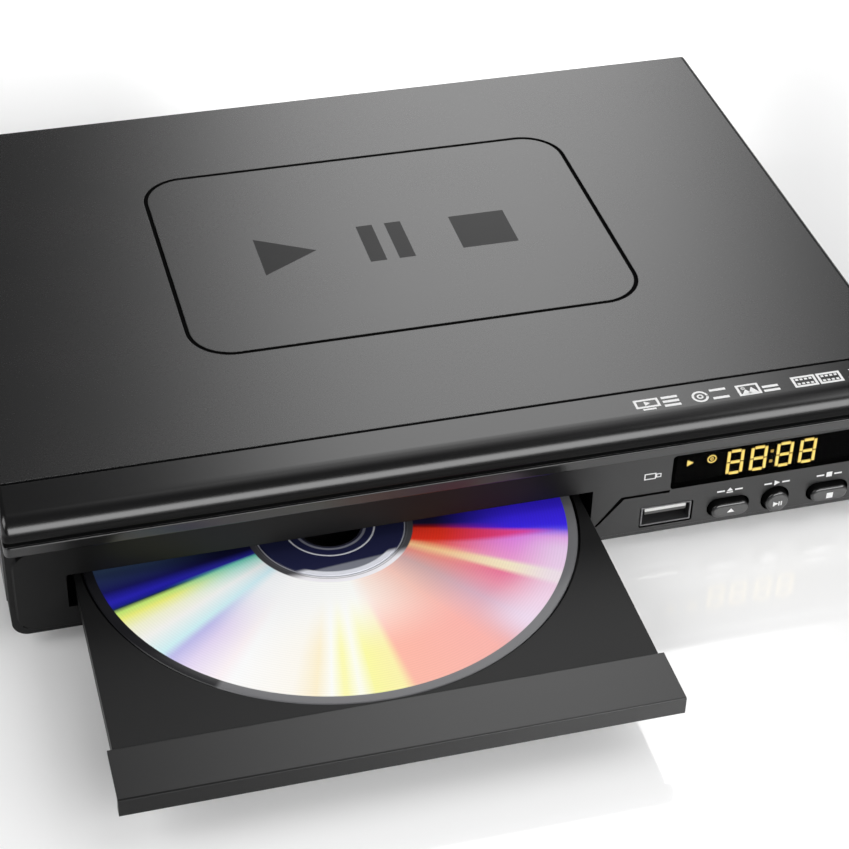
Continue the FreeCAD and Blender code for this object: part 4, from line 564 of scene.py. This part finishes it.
def layFloor():
    look = floorLook
    sweep = turned(look["profile"], (0, 0, 0), steps=look["steps"])
    mesh = bpy.data.meshes.new("paleFloor")
    faces = gridFaces(*sweep.shape[:2], closeCols=True)
    mesh.from_pydata(sweep.reshape(-1, 3).tolist(), [], faces.tolist())
    mesh.polygons.foreach_set("use_smooth", np.ones(len(mesh.polygons), bool))
    floor = bpy.data.objects.new("paleFloor", mesh)
    bpy.context.scene.collection.objects.link(floor)
    material, wire = blank("paleFloor")
    where = wire.add("TexCoord", None, None, "Object")
    cloud = wire.add("TexNoise", None, {"Vector": where, "Scale": look["clouds"], "Detail": 3.0})
    tone = cloud.blend(grey(look["color"] * look["cloudShade"]), grey(look["color"]))
    # white of its own for what is seen directly, mirrored or through glass, weaker beside the object,
    # so that the shadow stays: distance from the footprint = length of max(|point - middle| - foot, 0)
    path = wire.add("LightPath", None, None, "Is Camera Ray")
    other = [Wire(wire.tree, path.socket.node.outputs[kind])
             for kind in ("Is Glossy Ray", "Is Transmission Ray")]
    seen = path + sum(other) * look["mirrored"]
    beyond = [wire.sum("MAXIMUM", wire.sum("ABSOLUTE", along(where, axis) - middle) - foot, 0.0)
              for axis, middle, foot in zip("xy", look["middle"], look["foot"])]
    away = wire.sum("SQRT", beyond[0] * beyond[0] + beyond[1] * beyond[1]).rise(*look["fade"])
    seen = seen * (away * (1 - look["near"]) + look["near"])
    shade = wire.add("BsdfPrincipled", None, {
        "Base Color": tone, "Roughness": look["rough"], "Specular IOR Level": 1.0,
        "Coat Weight": 1.0, "Coat Roughness": look["coatRough"]})
    white = wire.add("Emission", None, {"Color": seen.blend(grey(0), grey(1)), "Strength": look["lift"]})
    both = wire.add("AddShader", None, {0: shade, 1: white})
    wire.add("OutputMaterial", None, {"Surface": both})
    mesh.materials.append(material)


layFloor()
print("floor laid")


# screws: pan heads with a cross recess, height = dome(r) minus a cross-shaped pit

screwLook = {
    "radius": 2.6, "height": 1.4, "rim": 0.55, "pit": 0.75, "arm": 1.35, "armHalf": 0.36,
    "armSoft": 0.1, "endSoft": 0.25, "skirt": 0.6, "rings": 19, "steps": 48,
    "places": (
        [((side * 113.0, y, 9.0), (side, 0, 0)) for side in (-1, 1) for y in (-56.3, 69.5)]
        + [((x, 82.5, 34.0), (0, 1, 0)) for x in (-101.0, 0.0, 101.0)]
        + [((x, y, 11.6), (0, 0, 1)) for x in (58.0, 104.0) for y in (-58.5, -15.5)]
        + [((x, y, 11.6), (0, 0, 1)) for x in (38.0, 80.0) for y in (17.5, 58.5)]
    ),
}


def screwHead(middle, axis):
    look = screwLook
    share = np.concatenate([[0.0, 1.0, 1.0], np.linspace(1.0, 0.0, look["rings"])])
    turn = np.linspace(0, 2 * np.pi, look["steps"], endpoint=False)
    r, a = np.meshgrid(share * look["radius"], turn, indexing="ij")
    bulge = np.sqrt(np.clip(1 - (r / look["radius"]) ** 2, 0, 1))
    dome = look["rim"] + (look["height"] - look["rim"]) * bulge
    x, y = np.abs(r * np.cos(a)), np.abs(r * np.sin(a))
    far, across = np.maximum(x, y), np.minimum(x, y)
    slope = np.clip((look["armHalf"] - across) / look["armSoft"], 0, 1)
    height = dome - look["pit"] * slope * np.clip((look["arm"] - far) / look["endSoft"], 0, 1)
    height[:2] = 0
    height[2] = look["rim"] * look["skirt"]
    axis = np.array(axis, float)
    side = np.cross(axis, (0, 0, 1) if abs(axis[2]) < 0.9 else (1, 0, 0))
    other = np.cross(axis, side)
    flat = (r * np.cos(a))[..., None] * side + (r * np.sin(a))[..., None] * other
    return np.array(middle) + flat + height[..., None] * axis


screwPiece = makePiece("screwHeads", "case", "screwSteel", "screw_steel",
                       [screwHead(*place) for place in screwLook["places"]], closeCols=True)
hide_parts("screws")


# feet: a tapered pad with rounded edges and a stepped screw well underneath

footLook = {
    "places": [(x, y, 0.0) for x in (-93.0, 93.0) for y in (-63.5, 63.5)],
    "profile": [(0, 4), (8, 4), (8, 3.6), (7.9, 3.2), (7.35, 1.0), (7.25, 0.5), (7.05, 0.2), (6.8, 0.05),
                (6.5, 0), (5.6, 0), (5.5, 0.25), (5.2, 0.35), (4.9, 0.25), (4.8, 0), (3.4, 0), (3.2, 0.1),
                (3.1, 0.4), (3.1, 2.2), (0, 2.2)],
}
footPiece = makePiece("rubberFeet", "case", "footRubber", "foot_rubber",
                      [turned(footLook["profile"], place) for place in footLook["places"]], closeCols=True)
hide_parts("feet")
print("screws and feet stand")


# disc: a thin ring with a lip at its hole, a stacking groove and rounded rims

discLook = {
    "middle": (-35.4, -75.4), "low": 15.2, "high": 16.4, "steps": 180,
    # radius, and height as a share of the gauge
    "profile": [(7.5, 0.12), (7.65, 0), (16.6, 0), (16.8, 0.1), (17.4, 0.1), (17.6, 0), (59.75, 0),
                (60, 0.15), (60, 0.85), (59.75, 1), (57.7, 1), (57.6, 0.985), (20.3, 0.985), (20.2, 1),
                (18.6, 1), (18.5, 0.9), (18.25, 0.87), (18.0, 0.9), (17.9, 1), (11.2, 1), (11.1, 0.94),
                (10.7, 0.94), (10.6, 1), (7.65, 1), (7.5, 0.88)],
    # clear hub and mirror band: radii in mm, levels in mm towards the far side, and the colours there,
    # painted reflections that are pale on the near side and dark beyond
    "tilt": 0.1, "hubColors": ((0.014, 0.016, 0.05, 1), (0.2, 0.21, 0.25, 1)), "hubLevel": (-14.6, -13.8),
    "shine": (0.76, 0.77, 0.84, 1), "shineBand": (16.6, 18.1, 0.25), "shineLevel": (-14.2, -12.6),
    "mirrorStart": (18.3, 18.5), "mirrorColors": ((0.06, 0.06, 0.066, 1), (0.9, 0.88, 0.92, 1)),
    "mirrorLevel": (-16.5, -13.0), "line": (0.1, 0.1, 0.11, 1), "lineBand": (18.8, 19.1, 0.1),
    "lineShare": 0.5,
    "ring": (0.62, 0.63, 0.68, 1), "lip": (0.02, 0.02, 0.03, 1), "lipEnd": 8.1,
    "rings": [((10.7, 11.1, 0.12), 1.0), ((18.1, 18.4, 0.1), 0.5), ((8.3, 8.9, 0.15), 0.3)],
    # data side, and bare rim painted black as shade over part of the turn and grey as a reflection over the
    # rest
    "dataStart": (20.1, 20.4), "outward": (24, 46), "rimStart": (57.5, 57.7), "rimTurn": (0.285, 0.295),
    "rimColors": ((0.012, 0.012, 0.014, 1), (0.15, 0.15, 0.157, 1)),
    "pale": (0.93, 0.8, 0.98, 1), "paleRadii": (43, 57), "paleTurn": (0.7, 0.9, 0.03), "paleShare": 0.75,
    "wedgeSlope": 0.0022, "wedgeStart": (0.79, 0.81), "wedgeEnd": (0.908, 0.922), "wedgeRadii": (26, 54),
    "wedgeColors": ((0.82, 0.035, 0.016, 1), (0.9, 0.08, 0.42, 1)),
    "trackPace": 9.0, "trackShade": 0.05, "trackRelief": 0.05, "trackDepth": 0.02,
    "smears": 60.0, "rough": (0.14, 0.1), "gloss": 0.25,
    # painted rainbow reflections of the data side over half a turn, seen near the rim
    "outer": [
        (0.0, (0.07, 0.13, 0.21)), (0.03, (0.03, 0.05, 0.13)), (0.062, (0.012, 0.012, 0.12)),
        (0.084, (0.025, 0.02, 0.5)), (0.094, (0.012, 0.015, 0.3)), (0.098, (0.01, 0.03, 0.06)),
        (0.105, (0.6, 0.9, 0.2)), (0.118, (0.95, 0.97, 0.24)), (0.14, (1, 1, 0.74)),
        (0.165, (1, 1, 0.97)), (0.2, (0.68, 0.95, 0.99)), (0.213, (0.56, 0.54, 0.9)),
        (0.24, (0.82, 0.72, 0.95)), (0.285, (1, 0.92, 0.95)), (0.303, (1, 1, 1)), (0.38, (1, 0.96, 0.88)),
        (0.41, (0.99, 0.88, 0.62)), (0.43, (1, 1, 0.95)), (0.447, (0.98, 0.96, 0.38)),
        (0.466, (1, 1, 0.9)), (0.485, (0.97, 0.95, 0.34)), (0.522, (0.98, 0.9, 0.4)),
        (0.537, (1, 0.46, 0.36)), (0.66, (0.97, 0.43, 0.38)), (0.73, (0.72, 0.44, 0.56)),
        (0.77, (0.88, 0.32, 0.44)), (0.802, (0.9, 0.2, 0.36)), (0.812, (1, 0.86, 0.6)),
        (0.828, (1, 0.88, 0.64)), (0.838, (0.92, 0.36, 0.7)), (0.9, (0.82, 0.24, 0.86)),
        (0.918, (0.055, 0.025, 0.95)),
    ],
    # the same painted reflections near the hub
    "inner": [
        (0.0, (0.006, 0.008, 0.02)), (0.06, (0.008, 0.008, 0.04)), (0.09, (0.03, 0.03, 0.4)),
        (0.1, (0.2, 0.78, 0.62)), (0.125, (0.55, 0.95, 0.85)), (0.16, (0.95, 1, 1)),
        (0.2, (0.7, 0.93, 0.99)), (0.23, (0.96, 0.98, 1)), (0.3, (1, 1, 1)), (0.5, (1, 1, 0.97)),
        (0.55, (1, 0.84, 0.76)), (0.66, (0.95, 0.6, 0.52)), (0.74, (0.66, 0.42, 0.42)),
        (0.79, (0.85, 0.3, 0.25)), (0.82, (0.98, 0.6, 0.3)), (0.85, (0.9, 0.12, 0.06)),
        (0.9, (0.75, 0.02, 0.012)), (0.92, (0.3, 0.01, 0.01)), (0.935, (0.012, 0.01, 0.04)),
        (1.0, (0.01, 0.008, 0.03)),
    ],
    # the painted reflections over the other half turn
    "far": [
        (0.0, (0.05, 0.03, 0.5)), (0.03, (0.02, 0.01, 0.06)), (0.12, (0.012, 0.01, 0.02)),
        (0.2, (0.2, 0.02, 0.03)), (0.26, (0.1, 0.05, 0.3)), (0.33, (0.1, 0.3, 0.6)),
        (0.4, (0.35, 0.75, 0.6)), (0.45, (0.8, 0.85, 0.4)), (0.52, (0.9, 0.9, 0.9)),
        (0.6, (0.85, 0.6, 0.55)), (0.68, (0.6, 0.2, 0.4)), (0.76, (0.2, 0.06, 0.4)),
        (0.84, (0.03, 0.02, 0.1)), (0.93, (0.02, 0.03, 0.06)), (1.0, (0.05, 0.1, 0.17)),
    ],
}


def discFinish(name):
    look = discLook
    material, wire = blank(name)
    where = wire.add("TexCoord", None, None, "Object")
    shift = (-look["middle"][0] * mm, -look["middle"][1] * mm, 0)
    centred = wire.add("Mapping", None, {"Vector": where, "Location": shift})
    x, y = along(centred, "x"), along(centred, "y")
    radius = wire.sum("SQRT", x * x + y * y) * (1 / mm)
    turn = wire.sum("ARCTAN2", y, x) / (2 * math.pi)          # -0.5 to 0.5, below 0 on the front half
    front = turn < 0
    half = front * (turn * 2 + 1) + (turn > 0) * turn * 2
    # painted reflection: the rainbow that the data side reflects, set by the angle about the middle and the
    # radius
    outer, inner, far = (wire.add("ValToRGB", {"stops": look[side]}, {0: half})
                         for side in ("outer", "inner", "far"))
    data = (turn > 0).blend(radius.rise(*look["outward"]).blend(inner, outer), far)
    # the painted pink reflections pale towards the rim
    pale = radius.rise(*look["paleRadii"]) * half.band(*look["paleTurn"]) * front * look["paleShare"]
    data = pale.blend(data, look["pale"])
    # a painted red reflection, a wedge that narrows towards the rim, just under the blue
    wedge = (half - radius * look["wedgeSlope"]).rise(*look["wedgeStart"]) * front
    wedge = wedge * (1 - half.rise(*look["wedgeEnd"]))
    data = wedge.blend(data, radius.rise(*look["wedgeRadii"]).blend(*look["wedgeColors"]))
    tracks = wire.sum("SINE", radius * look["trackPace"]) * 0.5 + 0.5
    data = (tracks * look["trackShade"]).blend(data, grey(0))
    # clear hub: a grey lip at the hole, fine rings, a painted pale reflection cut off by a straight line,
    # then the mirror band with a painted reflection, pale on the near side and dark beyond
    level = (y - x * look["tilt"]) * (1 / mm)
    hub = (1 - level.rise(*look["hubLevel"])).blend(*look["hubColors"])
    shine = radius.band(*look["shineBand"]) * (1 - level.rise(*look["shineLevel"]))
    hub = shine.blend(hub, look["shine"])
    mirror = (1 - level.rise(*look["mirrorLevel"])).blend(*look["mirrorColors"])
    mirror = (radius.band(*look["lineBand"]) * look["lineShare"]).blend(mirror, look["line"])
    hub = radius.rise(*look["mirrorStart"]).blend(hub, mirror)
    rings = sum(radius.band(*place) * share for place, share in look["rings"])
    hub = rings.blend(hub, look["ring"])
    hub = (radius < look["lipEnd"]).blend(hub, look["lip"])
    color = radius.rise(*look["dataStart"]).blend(hub, data)
    # painted shade and reflection: the clear rim is grey on most of the near half and black elsewhere
    edge = (half.rise(*look["rimTurn"]) * front).blend(*look["rimColors"])
    color = radius.rise(*look["rimStart"]).blend(color, edge)
    smear = wire.add("TexNoise", None, {"Vector": centred, "Scale": look["smears"], "Detail": 4.0})
    groove = wire.add("Bump", None, {"Strength": look["trackRelief"], "Distance": look["trackDepth"] * mm,
                                     "Height": tracks})
    start, spread = look["rough"]
    close(wire, {"Base Color": color, "Roughness": start + smear * spread,
                 "Specular IOR Level": look["gloss"], "Normal": groove})
    return material


paints["discStreaks"] = discFinish("discStreaks")


def makeDisc():
    look = discLook
    gauge = look["high"] - look["low"]
    profile = [(r, h * gauge) for r, h in look["profile"]]
    ring = turned(profile, (*look["middle"], look["low"]), steps=look["steps"])
    piece = makePiece("dataDisc", "disc", "discStreaks", "disc_polycarbonate", [ring],
                      closeRows=True, closeCols=True)
    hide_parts("disc")


makeDisc()
print("disc laid")


# signs: flat patches that follow a face, each a grid of plane points lifted off it as a thin closed slab

# four corners in turn, as a grid of two points by two
def quad(a, b, c, d):
    return np.array([[a, d], [b, c]], float)


def bar(x0, x1, y0, y1):
    return quad((x0, y0), (x1, y0), (x1, y1), (x0, y1))


def triangle(a, b, c):
    return quad(a, b, c, c)


# part of a ring between two radii and two angles in degrees
def arc(x, y, r0, r1, start=0.0, end=360.0, steps=36):
    r, t = np.meshgrid([r0, r1], np.radians(np.linspace(start, end, steps)), indexing="ij")
    return np.stack([x + r * np.cos(t), y + r * np.sin(t)], -1)


# a stroke of even width along a line from point to point
def stroke(a, b, width):
    a, b = np.array(a, float), np.array(b, float)
    side = np.array((a[1] - b[1], b[0] - a[0])) / np.linalg.norm(b - a) * width / 2
    return quad(a - side, b - side, b + side, a + side)


def frameOf(x0, x1, y0, y1, width):
    return [bar(x0, x1, y0, y0 + width), bar(x0, x1, y1 - width, y1),
            bar(x0, x0 + width, y0 + width, y1 - width), bar(x1 - width, x1, y0 + width, y1 - width)]


def moved(patches, x, y, scale=1.0):
    return [patch * scale + np.array((x, y)) for patch in patches]


# top and bottom grids with a wall round them, as one grid that runs under, over and back
def slab(patch, face, lift, sink):
    top, under = face(patch, lift), face(patch, -sink)
    rim = np.concatenate([under[:1], top, under[-1:]])
    sides = [np.stack([under[:, k], top[:, k]]) for k in (0, -1)]
    return [rim, under[::-1], *sides]


def flatFace(origin, across, up):
    origin, across, up = (np.array(v, float) for v in (origin, across, up))
    out = np.cross(across, up)
    return lambda p, h: origin + p[..., :1] * across + p[..., 1:] * up + h * out


# lift and sink: how far the print stands off its face and reaches into it, in mm
def makeSigns(name, body, paint, slot, patches, face, lift=0.015, sink=0.01):
    return makePiece(name, body, paint, slot, [g for p in patches for g in slab(p, face, lift, sink)])


playSign = [triangle((-0.42, -0.5), (-0.42, 0.5), (0.48, 0.0))]
pauseSign = [bar(-0.36, -0.1, -0.5, 0.5), bar(0.1, 0.36, -0.5, 0.5)]
stopSign = [bar(-0.45, 0.45, -0.45, 0.45)]
openSign = [triangle((-0.5, -0.12), (0.5, -0.12), (0.0, 0.5)), bar(-0.5, 0.5, -0.48, -0.26)]
discSign = [arc(0, 0, 0.36, 0.5), arc(0, 0, 0.1, 0.2)]
powerSign = [arc(0, -0.05, 0.34, 0.46, 120, 420), bar(-0.06, 0.06, 0.02, 0.52)]
noteSign = [arc(-0.22, -0.32, 0.0, 0.17), arc(0.3, -0.22, 0.0, 0.17),
            stroke((-0.09, -0.32), (-0.09, 0.4), 0.09), stroke((0.43, -0.22), (0.43, 0.5), 0.09),
            stroke((-0.13, 0.36), (0.47, 0.46), 0.2)]
filmHoles = [bar(x - 0.09, x + 0.09, y - 0.08, y + 0.08)
             for x in (-0.42, -0.14, 0.14, 0.42) for y in (-0.2, 0.2)]
filmSign = frameOf(-0.75, 0.75, -0.5, 0.5, 0.16) + filmHoles
hills = [triangle((-0.5, -0.36), (0.1, -0.36), (-0.2, 0.05)),
         triangle((-0.1, -0.36), (0.55, -0.36), (0.22, 0.2))]
pictureSign = frameOf(-0.7, 0.7, -0.5, 0.5, 0.15) + [arc(-0.3, 0.16, 0.0, 0.13)] + hills
screenSign = (frameOf(-0.75, 0.75, -0.28, 0.5, 0.15) + [bar(-0.4, 0.4, -0.5, -0.36)]
              + moved(playSign, 0.02, 0.11, 0.4))
stickSign = frameOf(-0.7, 0.2, -0.28, 0.28, 0.09) + frameOf(0.2, 0.6, -0.18, 0.18, 0.08)

# top of the cover, inside the frame line
emblem = {"middle": (-0.5, 6.5, 40.0), "high": 17.0, "apart": 27.0}
topFace = flatFace(emblem["middle"], (1, 0, 0), (0, 1, 0))
makeSigns("topSigns", "case", "signDark", "cover_paint",
          moved(playSign, -emblem["apart"], 0, emblem["high"]) + moved(pauseSign, 0, 0, emblem["high"])
          + moved(stopSign, emblem["apart"], 0, emblem["high"]), topFace)

# a row of small white signs on the lip of the front panel
lipRow = {"y": -76.6, "high": 4.2, "places": (43.4, 57.0, 69.6, 84.4, 97.4)}
lipFace = flatFace((0, lipRow["y"], 40.0), (1, 0, 0), (0, 1, 0))
linesSign = [bar(0, 1.0, level, level + 0.2) for level in (-0.45, -0.08, 0.29)]
lipSigns = [screenSign + moved(linesSign, 0.95, 0), discSign + moved(linesSign[::2], 0.7, 0.02),
            pictureSign + moved(linesSign[:2], 0.85, 0), filmSign + moved(filmSign, 1.6, 0),
            noteSign + moved(linesSign[::2], 0.7, 0)]
makeSigns("lipSigns", "case", "signWhite", "panel_plastic",
          [p for sign, x in zip(lipSigns, lipRow["places"])
           for p in moved(sign, x, 0, lipRow["high"])], lipFace)

# marks on the face plate over the keys and the memory stick socket
keyRow = {"plate": -83.5, "markLevel": 14.4, "markHigh": 1.7, "portMark": (44.1, 23.0, 3.4),
          "open": 65.1, "play": 77.7, "stop": 91.8, "power": 104.2}
plateFace = flatFace((0, keyRow["plate"], 0), (1, 0, 0), (0, 0, 1))
dashes = [bar(0.8, 2.0, -0.14, 0.14), bar(-2.0, -0.8, -0.14, 0.14)]
keyMarks = [("open", openSign), ("play", playSign), ("stop", stopSign), ("power", powerSign)]
makeSigns("keyMarks", "case", "signWhite", "panel_plastic",
          [p for key, sign in keyMarks
           for p in moved(sign + dashes, keyRow[key], keyRow["markLevel"], keyRow["markHigh"])]
          + moved(stickSign, *keyRow["portMark"]), plateFace)

# lit signs beside the figures
litRow = {"face": -82.3, "play": (53.9, 24.4, 1.9), "disc": (59.6, 24.6, 1.9 * 1.3), "lift": 0.2, "sink": 0.0}
litFace = flatFace((0, litRow["face"], 0), (1, 0, 0), (0, 0, 1))
makeSigns("litSigns", "case", "digitAmber", "digit_amber",
          moved(playSign, *litRow["play"]) + moved(discSign, *litRow["disc"]),
          litFace, litRow["lift"], litRow["sink"])

# small signs on the rear wall, each over the socket that it stands for
doubleSquare = frameOf(-0.5, 0.5, -0.5, 0.5, 0.12) + frameOf(-0.26, 0.26, -0.26, 0.26, 0.1)
rearRow = {"wall": 82.5, "level": 29.0, "high": 2.8, "over": [
    ("hdmi_shell", screenSign), ("jack_core_yellow", pictureSign), ("jack_core_white", noteSign),
    ("jack_core_red", noteSign), ("mains_inlet", doubleSquare),
]}


def socketMiddle(node):
    low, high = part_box(node)
    return (low[0] + high[0]) / 2 / mm


rearFace = flatFace((0, rearRow["wall"], 0), (-1, 0, 0), (0, 0, 1))
makeSigns("rearSigns", "case", "signWhite", "pan_paint",
          [p for node, sign in rearRow["over"]
           for p in moved(sign, -socketMiddle(node), rearRow["level"], rearRow["high"])], rearFace)
print("signs printed")


# a sign on the face of each key, which travels with it
keyLook = {"face": -85.5, "level": 9.4, "drop": 0.25, "sign": 1.9, "lift": 0.03, "sink": 0.02}
keys = {"open": openSign[:1], "play": moved(playSign, -0.3, 0, 0.8) + moved(pauseSign, 0.36, 0, 0.7),
        "stop": stopSign, "power": powerSign}
for label, sign in keys.items():
    keyMiddle = (keyRow[label], keyLook["face"], keyLook["level"] - keyLook["drop"])
    keyFace = flatFace(keyMiddle, (1, 0, 0), (0, 0, 1))
    makeSigns(label + "Sign", label + "_button", "signWhite", "button_plastic",
              moved(sign, 0, 0, keyLook["sign"]), keyFace, keyLook["lift"], keyLook["sink"])
print("keys marked")
